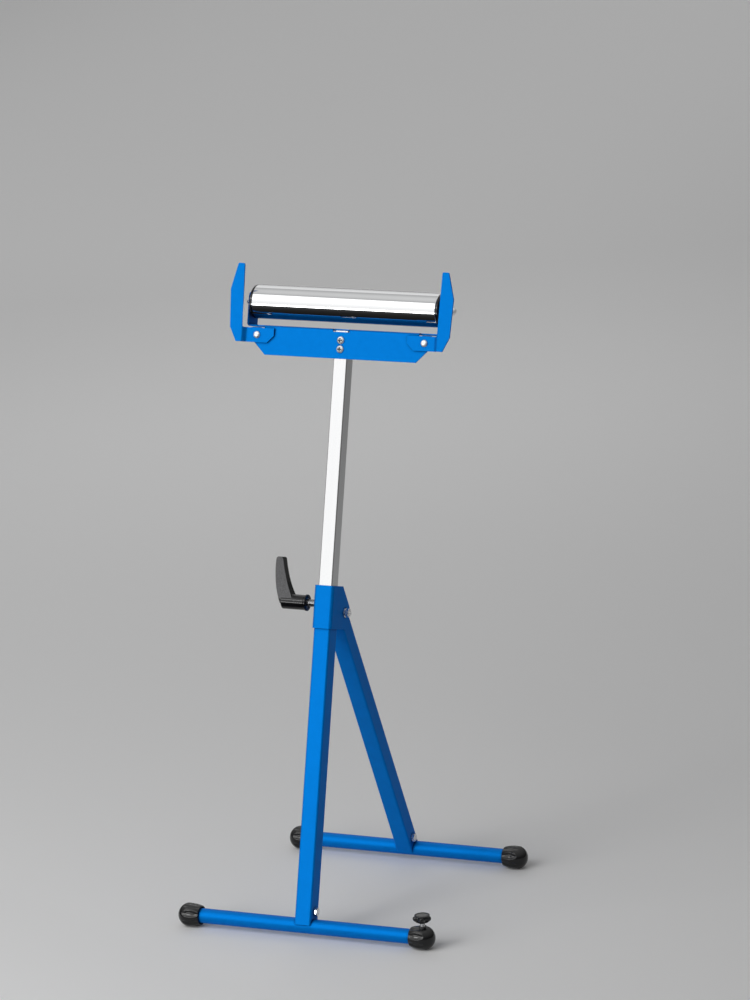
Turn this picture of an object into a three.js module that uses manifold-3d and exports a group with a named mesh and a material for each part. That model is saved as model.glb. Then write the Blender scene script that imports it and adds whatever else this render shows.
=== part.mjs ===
// Folding roller stand: a chromed support roller on a post that slides in a leaning square tube,
// held up by a hinged rear leg. Millimetres, +Z up, the front faces -Y, X runs along the roller.
// The origin lies on the floor, midway between the two foot bars.

import * as THREE from 'three';
import { mergeVertices } from 'three/addons/utils/BufferGeometryUtils.js';
import Module from 'manifold-3d';

// Fits
const GAP = 0.3;
const SLIDE_FIT = 0.5;

// Stance
const FOOT_SPREAD = 416;
const POST_LEAN = 17 * Math.PI / 180;

// Foot bars and ball feet
const BAR_DIAMETER = 25.4;
const BAR_WALL = 1.5;
const FRONT_BALL_SPACING = 433;
const REAR_BALL_SPACING = 411;
const BAR_PAST_BALL = 9.5;
const BALL_DIAMETER = 41;
const FLOOR_FLAT_DEPTH = 1;
const MOUTH_INSET = 21.5;
const MOUTH_DIAMETER = 33;
const FLUTE_COUNT = 8;
const FLUTE_LENGTH = 32;
const FLUTE_WIDTH = 11.5;
const FLUTE_DEPTH = 2.4;
const FLUTE_INSET = 8;
const SPIGOT_HEIGHT = 42;
const SPIGOT_WALL = 2;
const FOOT_BOLT_RISE = 25;

// Levelling screw of the right front foot
const LEVEL_SCREW_DIAMETER = 8;
const LEVEL_INSERT_DIAMETER = 13;
const LEVEL_INSERT_PROUD = 0.5;
const LEVEL_KNOB_RISE = 7;
const LEVEL_KNOB_DIAMETER = 32;
const LEVEL_KNOB_LOBES = 5;
const LEVEL_KNOB_LOBE_DEPTH = 5;
const LEVEL_KNOB_HEIGHT = 11;
const LEVEL_KNOB_CROWN_DIAMETER = 26;
const LEVEL_KNOB_CROWN = 2;
const LEVEL_KNOB_DISH_DIAMETER = 21;
const LEVEL_KNOB_DISH_DEPTH = 1.2;
const LEVEL_KNOB_SOCKET = 8;

// Square tubes: the outer post and the rear leg are cut from the same stock
const TUBE_SIDE = 30;
const TUBE_WALL = 2;
const TUBE_CORNER = 3;
const SADDLE_SKIRT = 2;
const POST_TOP = 571.5;
const INNER_WALL = 1.5;
const INNER_LENGTH = 568;
const PLUG_FLANGE = 4;
const PLUG_DEPTH = 14;

// Yoke and rear leg hinge
const YOKE_SHEET = 2.5;
const YOKE_HEIGHT = 72.5;
const YOKE_LIP = 1;
const PIVOT_BELOW_TOP = 44.5;
const PIVOT_BACK = 35;
const PIVOT_DIAMETER = 8;
const PIVOT_SLEEVE_DIAMETER = 14;
const EAR_MARGIN = 20;
const EAR_FOOT_RISE = 7;
const LEG_PAST_PIVOT = 22;

// Clamp lever, measured outward from the post's axis
const CLAMP_BELOW_TOP = 31.5;
const CLAMP_STUD_DIAMETER = 10;
const CLAMP_NUT_DIAMETER = 15;
const CLAMP_NUT_LENGTH = 5.7;
const CLAMP_NECK_DIAMETER = 12.5;
const CLAMP_NECK_LENGTH = 14.5;
const CLAMP_HUB_DIAMETER = 25.6;
const CLAMP_HUB_LENGTH = 45;
const CLAMP_HUB_WALL = 4;
const CLAMP_RING_DIAMETER = 28;
const CLAMP_RING_WIDTH = 3;
const CLAMP_INSERT_DEPTH = 20;
const CLAMP_SPRING_LENGTH = 13;
const CLAMP_SPRING_WIRE = 2;
const CLAMP_SPRING_TURNS = 4;
const CLAMP_SCREW_DIAMETER = 6;
const CLAMP_SCREW_HEAD = 4;
const CLAMP_ARM_RISE = 74.5;
const CLAMP_ARM_DEPTH = 16;
const CLAMP_ARM_WIDTH = 13;
const CLAMP_ARM_SWEEP = 15.2;
const CLAMP_ARM_ROOT = 17.8;

// Head: plate, flange and ears in one folded sheet
const HEAD_LIFT = 380.5;
const CRADLE_SHEET = 2.5;
const PLATE_HEIGHT = 50;
const PLATE_CHAMFER = 26;
const PLATE_PAST_BOLT = 11;
const FOLD_RADIUS = 4;
const FOLD_NOTCH_SIDE = 3;
const FOLD_NOTCH_DEPTH = 5;
const RELIEF_WIDTH = 6;
const RELIEF_DEPTH = 5;
const RELIEF_INSIDE_BOLT = 6;
const EAR_WIDTH = 36;
const EAR_BEND = 3;
const EAR_ABOVE_AXLE = 15.5;
const EAR_CORNER = 8;
const AXLE_RISE = 40;
const AXLE_BACK = 11.5;
const CRADLE_BOLT_DROP = 19;
const CRADLE_BOLT_PITCH = 15;

// Roller
const ROLLER_DIAMETER = 58;
const ROLLER_WALL = 1.5;
const ROLLER_LENGTH = 340;
const ROLLER_CAP_FLANGE = 4;
const ROLLER_CAP_DEPTH = 14;
const AXLE_DIAMETER = 12;
const AXLE_END_DIAMETER = 10;
const BEARING_DIAMETER = 28;
const BEARING_WIDTH = 8;
const SPACER_LENGTH = 3;
const SPACER_DIAMETER = 18;
const AXLE_NUT_ACROSS = 16;
const PLAIN_NUT_HEIGHT = 5;
const AXLE_THREAD_PROUD = 4.5;
const DOME_NUT_HEIGHT = 8.4;
const DOME_RADIUS = 6.6;
const DOME_HEIGHT = 7;

// Guides, measured from their bolts
const GUIDE_SHEET = 3;
const GUIDE_BOLT_INSET = 23;
const GUIDE_BOLT_DROP = 17;
const TAB_INNER = 31.5;
const TAB_OUTER = 20;
const TAB_ABOVE = 12;
const TAB_BELOW = 12.7;
const TAB_CHAMFER = 12;
const JOGGLE_RUN = 5;
const JOGGLE_RISE = 6.5;
const UPRIGHT_WIDTH = 26;
const UPRIGHT_RISE = 119.5;
const UPRIGHT_TIP_WIDTH = 12;
const UPRIGHT_TAPER = 44;
const UPRIGHT_CHAMFER_WIDTH = 15;
const UPRIGHT_CHAMFER_RISE = 24;
const UPRIGHT_FLARE = 3;
const UPRIGHT_TIP_RADIUS = 2.5;

// Fasteners
const BOLT_M8 = { diameter: 8, acrossFlats: 13, head: 5.3, nut: 6.5 };
const BOLT_M6 = { diameter: 6, acrossFlats: 10, head: 3.3, nut: 5 };
const THREAD_PROUD = 2;
const WASHER_THICKNESS = 1.6;
const WASHER_DIAMETER = 16;
const CRADLE_HEAD_DIAMETER = 13;
const CRADLE_RECESS_DIAMETER = 5;
const CRADLE_RECESS_DEPTH = 1.8;
const GUIDE_HEAD_DIAMETER = 12;
const GUIDE_WASHER_DIAMETER = 13;

// Facets of round pieces
const FINE = 36;
const ROUND = 20;
const SMALL = 12;

// Places that follow from the sizes
const barRadius = BAR_DIAMETER / 2;
const ballRadius = BALL_DIAMETER / 2;
const footHeight = ballRadius - FLOOR_FLAT_DEPTH;
const tubeHalf = TUBE_SIDE / 2;
const tubeBoreHalf = tubeHalf - TUBE_WALL;
const spigotHalf = tubeBoreHalf - GAP;
const innerHalf = tubeBoreHalf - SLIDE_FIT;
const yokeInner = tubeHalf + GAP;
const yokeOuter = yokeInner + YOKE_SHEET;
const yokeTop = POST_TOP + YOKE_LIP;
const yokeBottom = yokeTop - YOKE_HEIGHT;
const pivotHeight = yokeTop - PIVOT_BELOW_TOP;
const clampHeight = yokeTop - CLAMP_BELOW_TOP;
const cradleBottom = yokeTop + HEAD_LIFT;
const cradleTop = cradleBottom + PLATE_HEIGHT;
const innerTop = cradleTop - CRADLE_SHEET - GAP;
const innerBottom = innerTop - INNER_LENGTH;
const plateBack = -innerHalf - GAP;
const plateFront = plateBack - CRADLE_SHEET;
const axleHeight = cradleTop + AXLE_RISE;
const capOuter = ROLLER_LENGTH / 2 + GAP + ROLLER_CAP_FLANGE;
const earInner = capOuter + GAP + SPACER_LENGTH + GAP;
const earOuter = earInner + CRADLE_SHEET;
const guideBoltX = earInner - GUIDE_BOLT_INSET;
const guideBoltHeight = cradleTop - GUIDE_BOLT_DROP;
const plateHalf = guideBoltX + PLATE_PAST_BOLT;
const foldHalf = guideBoltX - RELIEF_INSIDE_BOLT - RELIEF_WIDTH;
const tabBack = plateFront - GAP;

// The rear leg runs from the pivot to the rear foot bar
const pivotY = PIVOT_BACK * Math.cos(POST_LEAN) + pivotHeight * Math.sin(POST_LEAN);
const pivotZ = pivotHeight * Math.cos(POST_LEAN) - PIVOT_BACK * Math.sin(POST_LEAN);
const legLean = Math.atan2(FOOT_SPREAD - pivotY, pivotZ);
const legLength = Math.hypot(FOOT_SPREAD - pivotY, pivotZ);
const legSpread = POST_LEAN + legLean;

// Finishes
const BLUE_PAINT = { color: 0x0a6cc4, roughness: 0.42, metalness: 0 };
const BRIGHT_ZINC = { color: 0xd9dcdf, roughness: 0.32, metalness: 1 };
const CHROME = { color: 0xeef0f2, roughness: 0.06, metalness: 1 };
const BLACK_PLASTIC = { color: 0x16171a, roughness: 0.3, metalness: 0 };
const BLACK_STEEL = { color: 0x1c1d20, roughness: 0.35, metalness: 0.6 };
const NATURAL_NYLON = { color: 0xe6e2d6, roughness: 0.5, metalness: 0 };
const BEARING_STEEL = { color: 0xb8bcc0, roughness: 0.25, metalness: 1 };

// Booleans
const wasm = await Module();
wasm.setup();

function solidOf(geometry) {
  const bare = geometry.clone();
  bare.deleteAttribute('normal');
  bare.deleteAttribute('uv');
  const merged = mergeVertices(bare, 1e-4);
  const corners = merged.index.array;
  const triangles = [];
  for (let i = 0; i < corners.length; i += 3) {
    const [a, b, c] = [corners[i], corners[i + 1], corners[i + 2]];
    if (a !== b && b !== c && c !== a) triangles.push(a, b, c);
  }
  return new wasm.Manifold(new wasm.Mesh({
    numProp: 3,
    vertProperties: new Float32Array(merged.attributes.position.array),
    triVerts: new Uint32Array(triangles),
  }));
}

function geometryOf(solid) {
  const mesh = solid.getMesh();
  const geometry = new THREE.BufferGeometry();
  geometry.setAttribute('position', new THREE.BufferAttribute(mesh.vertProperties, 3));
  geometry.setIndex(new THREE.BufferAttribute(mesh.triVerts, 1));
  geometry.computeVertexNormals();
  return geometry;
}

function join(first, ...others) {
  return geometryOf(others.reduce((sum, other) => sum.add(solidOf(other)), solidOf(first)));
}

function cut(body, ...tools) {
  return geometryOf(tools.reduce((rest, tool) => rest.subtract(solidOf(tool)), solidOf(body)));
}

function common(first, ...others) {
  return geometryOf(others.reduce((rest, other) => rest.intersect(solidOf(other)), solidOf(first)));
}

// Turned shapes, about Z
function turned(profile, facets) {
  const points = profile.map(([radius, z]) => new THREE.Vector2(radius, z));
  return new THREE.LatheGeometry(points, facets).rotateX(Math.PI / 2);
}

function rod(radius, z0, z1, facets = ROUND) {
  return turned([[0, z0], [radius, z0], [radius, z1], [0, z1]], facets);
}

function ring(inner, outer, z0, z1, facets = ROUND) {
  return turned([[inner, z0], [outer, z0], [outer, z1], [inner, z1], [inner, z0]], facets);
}

function dome(radius, height, z0, steps = 4) {
  const profile = [[0, z0], [radius, z0]];
  for (let i = 1; i <= steps; i += 1) {
    const angle = (i / steps) * Math.PI / 2;
    const edge = i === steps ? 0 : radius * Math.cos(angle);
    profile.push([edge, z0 + height * Math.sin(angle)]);
  }
  return turned(profile, SMALL);
}

// Directions for shapes made about Z
const alongX = (geometry) => geometry.rotateY(Math.PI / 2);
const alongBack = (geometry) => geometry.rotateX(-Math.PI / 2);

// A round tool along X through (y, z), from x0 to x1
function drillX(radius, y, z, x0, x1, facets = SMALL) {
  return alongX(rod(radius, x0, x1, facets)).translate(0, y, z);
}

// A round tool along Y through (x, z), from y0 to y1
function drillY(radius, x, z, y0, y1, facets = SMALL) {
  return alongBack(rod(radius, y0, y1, facets)).translate(x, 0, z);
}

function block(x0, x1, y0, y1, z0, z1) {
  const box = new THREE.BoxGeometry(x1 - x0, y1 - y0, z1 - z0);
  return box.translate((x0 + x1) / 2, (y0 + y1) / 2, (z0 + z1) / 2);
}

// Extruded outlines
function outline(points) {
  return new THREE.Shape(points.map(([a, b]) => new THREE.Vector2(a, b)));
}

function prism(shape, z0, z1, curveSegments = 2) {
  const settings = { depth: z1 - z0, bevelEnabled: false, curveSegments };
  return new THREE.ExtrudeGeometry(shape, settings).translate(0, 0, z0);
}

// An outline drawn in (y, z), extruded from x0 to x1
function acrossX(shape, x0, x1, curveSegments = 4) {
  const turn = new THREE.Matrix4().makeBasis(
    new THREE.Vector3(0, 1, 0),
    new THREE.Vector3(0, 0, 1),
    new THREE.Vector3(1, 0, 0),
  );
  return prism(shape, x0, x1, curveSegments).applyMatrix4(turn);
}

// An outline drawn in (x, z), extruded from y0 to y1
function acrossY(shape, y0, y1, curveSegments = 4) {
  return prism(shape, -y1, -y0, curveSegments).rotateX(Math.PI / 2);
}

function roundedSquare(half, radius) {
  const shape = new THREE.Shape();
  const flat = half - radius;
  shape.absarc(flat, flat, radius, 0, Math.PI / 2);
  shape.absarc(-flat, flat, radius, Math.PI / 2, Math.PI);
  shape.absarc(-flat, -flat, radius, Math.PI, Math.PI * 1.5);
  shape.absarc(flat, -flat, radius, Math.PI * 1.5, Math.PI * 2);
  return shape;
}

function squareTube(half, wall, corner, z0, z1) {
  const section = roundedSquare(half, corner);
  section.holes.push(roundedSquare(half - wall, Math.max(corner - wall, corner / 4)));
  return prism(section, z0, z1);
}

// Fasteners, made about Z with the head under the joint at z = 0
function hexPrism(acrossFlats, z0, z1) {
  return rod(acrossFlats / Math.sqrt(3), z0, z1, 6);
}

function hexBolt(size, length) {
  const head = hexPrism(size.acrossFlats, -size.head, 0);
  return join(head, rod(size.diameter / 2, -size.head / 2, length, SMALL));
}

function hexNut(size, height = size.nut) {
  const bore = rod(size.diameter / 2 + GAP, -1, height + 1, SMALL);
  return cut(hexPrism(size.acrossFlats, 0, height), bore);
}

function washer(diameter, bore, thickness) {
  return ring(bore / 2 + GAP, diameter / 2, 0, thickness, SMALL);
}

// The scene graph
const stand = new THREE.Group();

function group(parent, y, z, leanAboutX) {
  const frame = new THREE.Group();
  frame.position.set(0, y, z);
  frame.rotation.x = leanAboutX;
  parent.add(frame);
  return frame;
}

const frontFoot = group(stand, -FOOT_SPREAD / 2, footHeight, 0);
const rearFoot = group(stand, FOOT_SPREAD / 2, footHeight, 0);
const post = group(frontFoot, 0, 0, -POST_LEAN);
const leg = group(rearFoot, 0, 0, legLean);

function piece(name, parent, geometry, finish) {
  const mesh = new THREE.Mesh(geometry, new THREE.MeshStandardMaterial(finish));
  mesh.name = name;
  parent.add(mesh);
  return mesh;
}

// Foot bars: round tube with a square spigot welded on, leaning with the tube that stands on it.
// The spigot and its tube are drilled on the right for the foot bolt.
const footBoltHole = () => drillX(BOLT_M8.diameter / 2 + GAP, 0, FOOT_BOLT_RISE, 0, TUBE_SIDE);

function footBar(ballSpacing, lean) {
  const half = ballSpacing / 2 + BAR_PAST_BALL;
  const spigot = squareTube(spigotHalf, SPIGOT_WALL, TUBE_CORNER - TUBE_WALL, 0, SPIGOT_HEIGHT);
  const drilled = cut(spigot, footBoltHole()).rotateX(lean);
  const bar = alongX(rod(barRadius, -half, half));
  const bore = alongX(rod(barRadius - BAR_WALL, -half - 1, half + 1));
  return cut(join(bar, drilled), bore);
}

const levelHole = rod(LEVEL_SCREW_DIAMETER / 2 + GAP, -BALL_DIAMETER, BALL_DIAMETER, SMALL)
  .translate(FRONT_BALL_SPACING / 2, 0, 0);
piece('front_foot_bar', frontFoot, cut(footBar(FRONT_BALL_SPACING, -POST_LEAN), levelHole), BLUE_PAINT);
piece('rear_foot_bar', rearFoot, footBar(REAR_BALL_SPACING, legLean), BLUE_PAINT);

// Ball feet: half a ball at the closed end and a longer taper to the mouth, hollow for the bar, fluted along
// the taper, with a small flat on the floor. Made about X with the closed end at +X and the ball's centre at
// the origin.
const mouthAngle = Math.acos(MOUTH_DIAMETER / BALL_DIAMETER);
const taperReach = MOUTH_INSET / Math.sin(mouthAngle);

function ballFoot() {
  const steps = 5;
  const profile = [[0, -MOUTH_INSET]];
  for (let i = 0; i < steps; i += 1) {
    const angle = mouthAngle * (1 - i / steps);
    profile.push([ballRadius * Math.cos(angle), -taperReach * Math.sin(angle)]);
  }
  for (let i = 0; i <= steps; i += 1) {
    const angle = (i / steps) * Math.PI / 2;
    profile.push([i === steps ? 0 : ballRadius * Math.cos(angle), ballRadius * Math.sin(angle)]);
  }
  const ball = alongX(turned(profile, ROUND));
  const bore = alongX(rod(barRadius + GAP, -MOUTH_INSET - 1, BAR_PAST_BALL + GAP));
  const flat = block(-ballRadius, ballRadius, -ballRadius, ballRadius, -BALL_DIAMETER, -footHeight);
  const fluteAngle = Math.asin(FLUTE_INSET / taperReach);
  const fluteRadius = ballRadius * Math.cos(fluteAngle);
  const slope = Math.atan2(ballRadius * Math.sin(fluteAngle), taperReach * Math.cos(fluteAngle));
  const flutes = [];
  for (let i = 0; i < FLUTE_COUNT; i += 1) {
    const flute = new THREE.SphereGeometry(0.5, 6, 4).rotateZ(Math.PI / 2);
    flute.scale(FLUTE_LENGTH, FLUTE_WIDTH, 4 * FLUTE_DEPTH).rotateY(-slope);
    flute.translate(-FLUTE_INSET, 0, fluteRadius + FLUTE_DEPTH);
    flutes.push(flute.rotateX((i + 0.5) * 2 * Math.PI / FLUTE_COUNT));
  }
  return cut(ball, bore, flat, ...flutes);
}

function placeFoot(geometry, side, spacing) {
  const facing = side < 0 ? geometry.rotateZ(Math.PI) : geometry;
  return facing.translate(side * spacing / 2, 0, 0);
}

const insertPocket = rod(LEVEL_INSERT_DIAMETER / 2 + GAP, 0, ballRadius + 1, ROUND);
const screwWay = rod(LEVEL_SCREW_DIAMETER / 2 + GAP, -BALL_DIAMETER, 0, SMALL);
const levellingFoot = cut(ballFoot(), insertPocket, screwWay);
piece('front_left_cap', frontFoot, placeFoot(ballFoot(), -1, FRONT_BALL_SPACING), BLACK_PLASTIC);
piece('front_right_cap', frontFoot, placeFoot(levellingFoot, 1, FRONT_BALL_SPACING), BLACK_PLASTIC);
piece('rear_left_cap', rearFoot, placeFoot(ballFoot(), -1, REAR_BALL_SPACING), BLACK_PLASTIC);
piece('rear_right_cap', rearFoot, placeFoot(ballFoot(), 1, REAR_BALL_SPACING), BLACK_PLASTIC);

// Levelling screw: threaded insert, screw and star knob, upright through the right front ball
const levelling = group(frontFoot, 0, 0, 0);
levelling.position.x = FRONT_BALL_SPACING / 2;
const knobBottom = ballRadius + LEVEL_KNOB_RISE;
const screwRadius = LEVEL_SCREW_DIAMETER / 2;
piece('levelling_insert', levelling, ring(
  screwRadius + GAP,
  LEVEL_INSERT_DIAMETER / 2,
  barRadius + GAP,
  ballRadius + LEVEL_INSERT_PROUD,
), BRIGHT_ZINC);
piece('levelling_screw', levelling, turned([
  [0, GAP - footHeight],
  [screwRadius * 0.6, GAP - footHeight],
  [screwRadius, GAP - footHeight + screwRadius * 0.4],
  [screwRadius, knobBottom + LEVEL_KNOB_SOCKET - GAP],
  [0, knobBottom + LEVEL_KNOB_SOCKET - GAP],
], SMALL), BRIGHT_ZINC);

function starKnob() {
  const points = [];
  const steps = LEVEL_KNOB_LOBES * 8;
  const mean = LEVEL_KNOB_DIAMETER / 2 - LEVEL_KNOB_LOBE_DEPTH / 2;
  for (let i = 0; i < steps; i += 1) {
    const angle = (i / steps) * 2 * Math.PI;
    const reach = mean + LEVEL_KNOB_LOBE_DEPTH / 2 * Math.cos(LEVEL_KNOB_LOBES * angle);
    points.push([reach * Math.cos(angle), reach * Math.sin(angle)]);
  }
  const starTop = knobBottom + LEVEL_KNOB_HEIGHT;
  const star = prism(outline(points), knobBottom, starTop);
  const crownTop = starTop + LEVEL_KNOB_CROWN;
  const crown = rod(LEVEL_KNOB_CROWN_DIAMETER / 2, starTop - 1, crownTop, ROUND);
  const dish = rod(LEVEL_KNOB_DISH_DIAMETER / 2, crownTop - LEVEL_KNOB_DISH_DEPTH, crownTop + 1, ROUND);
  const socket = rod(screwRadius + GAP, knobBottom - 1, knobBottom + LEVEL_KNOB_SOCKET, SMALL);
  return cut(join(star, crown), dish, socket);
}
piece('levelling_knob', levelling, starKnob(), BLACK_PLASTIC);

// Outer post: square tube saddled over the front bar, cross-drilled for its bolt and for the clamp
const saddle = () => drillX(barRadius + GAP, 0, 0, -TUBE_SIDE, TUBE_SIDE, ROUND);
const clampHole = drillX(CLAMP_STUD_DIAMETER / 2 + GAP, 0, clampHeight, -TUBE_SIDE, 0);
piece('outer_post', post, cut(
  squareTube(tubeHalf, TUBE_WALL, TUBE_CORNER, SADDLE_SKIRT, POST_TOP),
  saddle(),
  footBoltHole(),
  clampHole,
), BLUE_PAINT);

// Foot bolts: from the right through the tube and the spigot's wall, into a nut inside the spigot
for (const [name, tube] of [['post', post], ['leg', leg]]) {
  const headSeatX = tubeHalf + GAP;
  const nutFace = spigotHalf - SPIGOT_WALL - GAP;
  const length = headSeatX - nutFace + BOLT_M8.nut + THREAD_PROUD;
  const inward = (geometry) => alongX(geometry).rotateZ(Math.PI);
  const bolt = inward(hexBolt(BOLT_M8, length)).translate(headSeatX, 0, FOOT_BOLT_RISE);
  piece(`${name}_bolt`, tube, bolt, BRIGHT_ZINC);
  piece(`${name}_nut`, tube, inward(hexNut(BOLT_M8)).translate(nutFace, 0, FOOT_BOLT_RISE), BRIGHT_ZINC);
}

// Yoke: sheet folded round the post's front and sides, its ears reaching back to the pivot.
// The ears' rear edges run along the rear leg and round off over the pivot.
function yoke() {
  const earEnd = PIVOT_BACK + 2 * EAR_MARGIN;
  const outerBend = TUBE_CORNER + YOKE_SHEET;
  const section = new THREE.Shape();
  section.moveTo(-yokeOuter, earEnd);
  section.lineTo(-yokeOuter, outerBend - yokeOuter);
  section.absarc(outerBend - yokeOuter, outerBend - yokeOuter, outerBend, Math.PI, Math.PI * 1.5);
  section.absarc(yokeOuter - outerBend, outerBend - yokeOuter, outerBend, Math.PI * 1.5, Math.PI * 2);
  section.lineTo(yokeOuter, earEnd);
  section.lineTo(yokeInner, earEnd);
  section.lineTo(yokeInner, TUBE_CORNER - yokeInner);
  section.absarc(yokeInner - TUBE_CORNER, TUBE_CORNER - yokeInner, TUBE_CORNER, 0, -Math.PI / 2, true);
  section.absarc(TUBE_CORNER - yokeInner, TUBE_CORNER - yokeInner, TUBE_CORNER, -Math.PI / 2, -Math.PI, true);
  section.lineTo(-yokeInner, earEnd);
  const wrap = prism(section, yokeBottom, yokeTop);

  const edgeY = PIVOT_BACK + EAR_MARGIN * Math.cos(legSpread);
  const edgeZ = pivotHeight + EAR_MARGIN * Math.sin(legSpread);
  const topY = edgeY - (yokeTop - edgeZ) * Math.tan(legSpread);
  const side = new THREE.Shape();
  side.moveTo(-2 * yokeOuter, yokeTop + 1);
  side.lineTo(-2 * yokeOuter, yokeBottom - 1);
  side.lineTo(PIVOT_BACK + EAR_FOOT_RISE - 1, yokeBottom - 1);
  side.quadraticCurveTo(
    PIVOT_BACK + EAR_MARGIN * 0.6,
    yokeBottom,
    PIVOT_BACK + EAR_MARGIN * 0.7,
    yokeBottom + EAR_FOOT_RISE,
  );
  side.lineTo(PIVOT_BACK + EAR_MARGIN, pivotHeight);
  side.absarc(PIVOT_BACK, pivotHeight, EAR_MARGIN, 0, legSpread);
  side.lineTo(topY, yokeTop);
  side.lineTo(topY, yokeTop + 1);

  const pivotHole = drillX(PIVOT_DIAMETER / 2 + GAP, PIVOT_BACK, pivotHeight, -TUBE_SIDE, TUBE_SIDE);
  const nutHole = drillX(CLAMP_NUT_DIAMETER / 2 + GAP, 0, clampHeight, -TUBE_SIDE, 0, ROUND);
  return cut(common(wrap, acrossX(side, -TUBE_SIDE, TUBE_SIDE)), pivotHole, nutHole);
}
piece('yoke', post, yoke(), BLUE_PAINT);

// Rear leg: saddled on the rear bar, its top trimmed to bear on the post's back face when open
function rearLeg() {
  const reach = 2 * LEG_PAST_PIVOT;
  const stopFace = block(
    -TUBE_SIDE,
    TUBE_SIDE,
    tubeHalf + GAP - PIVOT_BACK - reach,
    tubeHalf + GAP - PIVOT_BACK,
    -reach,
    reach,
  );
  stopFace.rotateX(-legSpread).translate(0, 0, legLength);
  return cut(
    squareTube(tubeHalf, TUBE_WALL, TUBE_CORNER, SADDLE_SKIRT, legLength + LEG_PAST_PIVOT),
    saddle(),
    footBoltHole(),
    drillX(PIVOT_SLEEVE_DIAMETER / 2 + GAP, 0, legLength, -TUBE_SIDE, TUBE_SIDE, ROUND),
    stopFace,
  );
}
piece('rear_leg', leg, rearLeg(), BLUE_PAINT);

// Pivot: a bolt through both ears, with a sleeve that the leg turns on
const sleeve = ring(PIVOT_DIAMETER / 2 + GAP, PIVOT_SLEEVE_DIAMETER / 2, GAP - yokeInner, yokeInner - GAP);
piece('pivot_sleeve', post, alongX(sleeve).translate(0, PIVOT_BACK, pivotHeight), BRIGHT_ZINC);
for (const [name, x] of [
  ['pivot_washer_left', -yokeOuter - GAP - WASHER_THICKNESS],
  ['pivot_washer_right', yokeOuter + GAP],
]) {
  const disc = alongX(washer(WASHER_DIAMETER, PIVOT_DIAMETER, WASHER_THICKNESS));
  piece(name, post, disc.translate(x, PIVOT_BACK, pivotHeight), BRIGHT_ZINC);
}
const pivotSeat = yokeOuter + WASHER_THICKNESS + 2 * GAP;
const pivotBolt = alongX(hexBolt(BOLT_M8, 2 * pivotSeat + BOLT_M8.nut + THREAD_PROUD));
const pivotNut = alongX(hexNut(BOLT_M8));
piece('pivot_bolt', post, pivotBolt.translate(-pivotSeat, PIVOT_BACK, pivotHeight), BRIGHT_ZINC);
piece('pivot_nut', post, pivotNut.translate(pivotSeat, PIVOT_BACK, pivotHeight), BRIGHT_ZINC);

// Clamp: a group whose Z points outward from the post's left side and whose Y points up the post
const clamp = new THREE.Group();
clamp.applyMatrix4(new THREE.Matrix4().makeBasis(
  new THREE.Vector3(0, -1, 0),
  new THREE.Vector3(0, 0, 1),
  new THREE.Vector3(-1, 0, 0),
).setPosition(0, 0, clampHeight));
post.add(clamp);

const studRadius = CLAMP_STUD_DIAMETER / 2;
const nutStart = tubeHalf + GAP;
const nutEnd = nutStart + CLAMP_NUT_LENGTH;
const neckStart = nutEnd + GAP;
const hubStart = neckStart + CLAMP_NECK_LENGTH;
const hubEnd = hubStart + CLAMP_HUB_LENGTH;
const hubBore = CLAMP_HUB_DIAMETER / 2 - CLAMP_HUB_WALL;
const insertEnd = hubStart + CLAMP_INSERT_DEPTH;
const springEnd = insertEnd + CLAMP_SPRING_LENGTH;
const headSeat = hubEnd - CLAMP_SCREW_HEAD;
const retainerRadius = CLAMP_SCREW_DIAMETER / 2;
const studEnd = hubStart + CLAMP_INSERT_DEPTH / 2;
const retainerEnd = studEnd + 2;

piece('clamp_nut', clamp, ring(studRadius + GAP, CLAMP_NUT_DIAMETER / 2, nutStart, nutEnd), BLUE_PAINT);
piece('clamp_pad', clamp, rod(studRadius, innerHalf + GAP, tubeHalf, SMALL), NATURAL_NYLON);
piece('clamp_stud', clamp, rod(studRadius, nutStart, studEnd, SMALL), BRIGHT_ZINC);
piece('clamp_insert', clamp, turned([
  [studRadius + GAP, neckStart],
  [CLAMP_NECK_DIAMETER / 2, neckStart],
  [CLAMP_NECK_DIAMETER / 2, hubStart + GAP],
  [hubBore - GAP, hubStart + GAP],
  [hubBore - GAP, insertEnd],
  [retainerRadius + GAP, insertEnd],
  [retainerRadius + GAP, studEnd + GAP],
  [studRadius + GAP, studEnd + GAP],
  [studRadius + GAP, neckStart],
], ROUND), BLACK_STEEL);

// The spring's wire runs in a helix between the insert and the hub's inner wall
class Coil extends THREE.Curve {
  getPoint(t, target = new THREE.Vector3()) {
    const angle = t * CLAMP_SPRING_TURNS * 2 * Math.PI;
    const wireRadius = CLAMP_SPRING_WIRE / 2;
    const radius = hubBore - GAP - wireRadius;
    const start = insertEnd + GAP + wireRadius;
    const rise = springEnd - insertEnd - 2 * (GAP + wireRadius);
    return target.set(radius * Math.cos(angle), radius * Math.sin(angle), start + t * rise);
  }
}
const wire = new THREE.Shape().absarc(0, 0, CLAMP_SPRING_WIRE / 2, 0, 2 * Math.PI);
piece('clamp_spring', clamp, new THREE.ExtrudeGeometry(wire, {
  extrudePath: new Coil(),
  steps: CLAMP_SPRING_TURNS * 9,
  curveSegments: 3,
}), BRIGHT_ZINC);
piece('clamp_screw', clamp, join(
  rod(CLAMP_SCREW_DIAMETER, headSeat + GAP, hubEnd - GAP, SMALL),
  rod(retainerRadius, retainerEnd, headSeat + 2 * GAP, SMALL),
), BRIGHT_ZINC);

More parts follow.
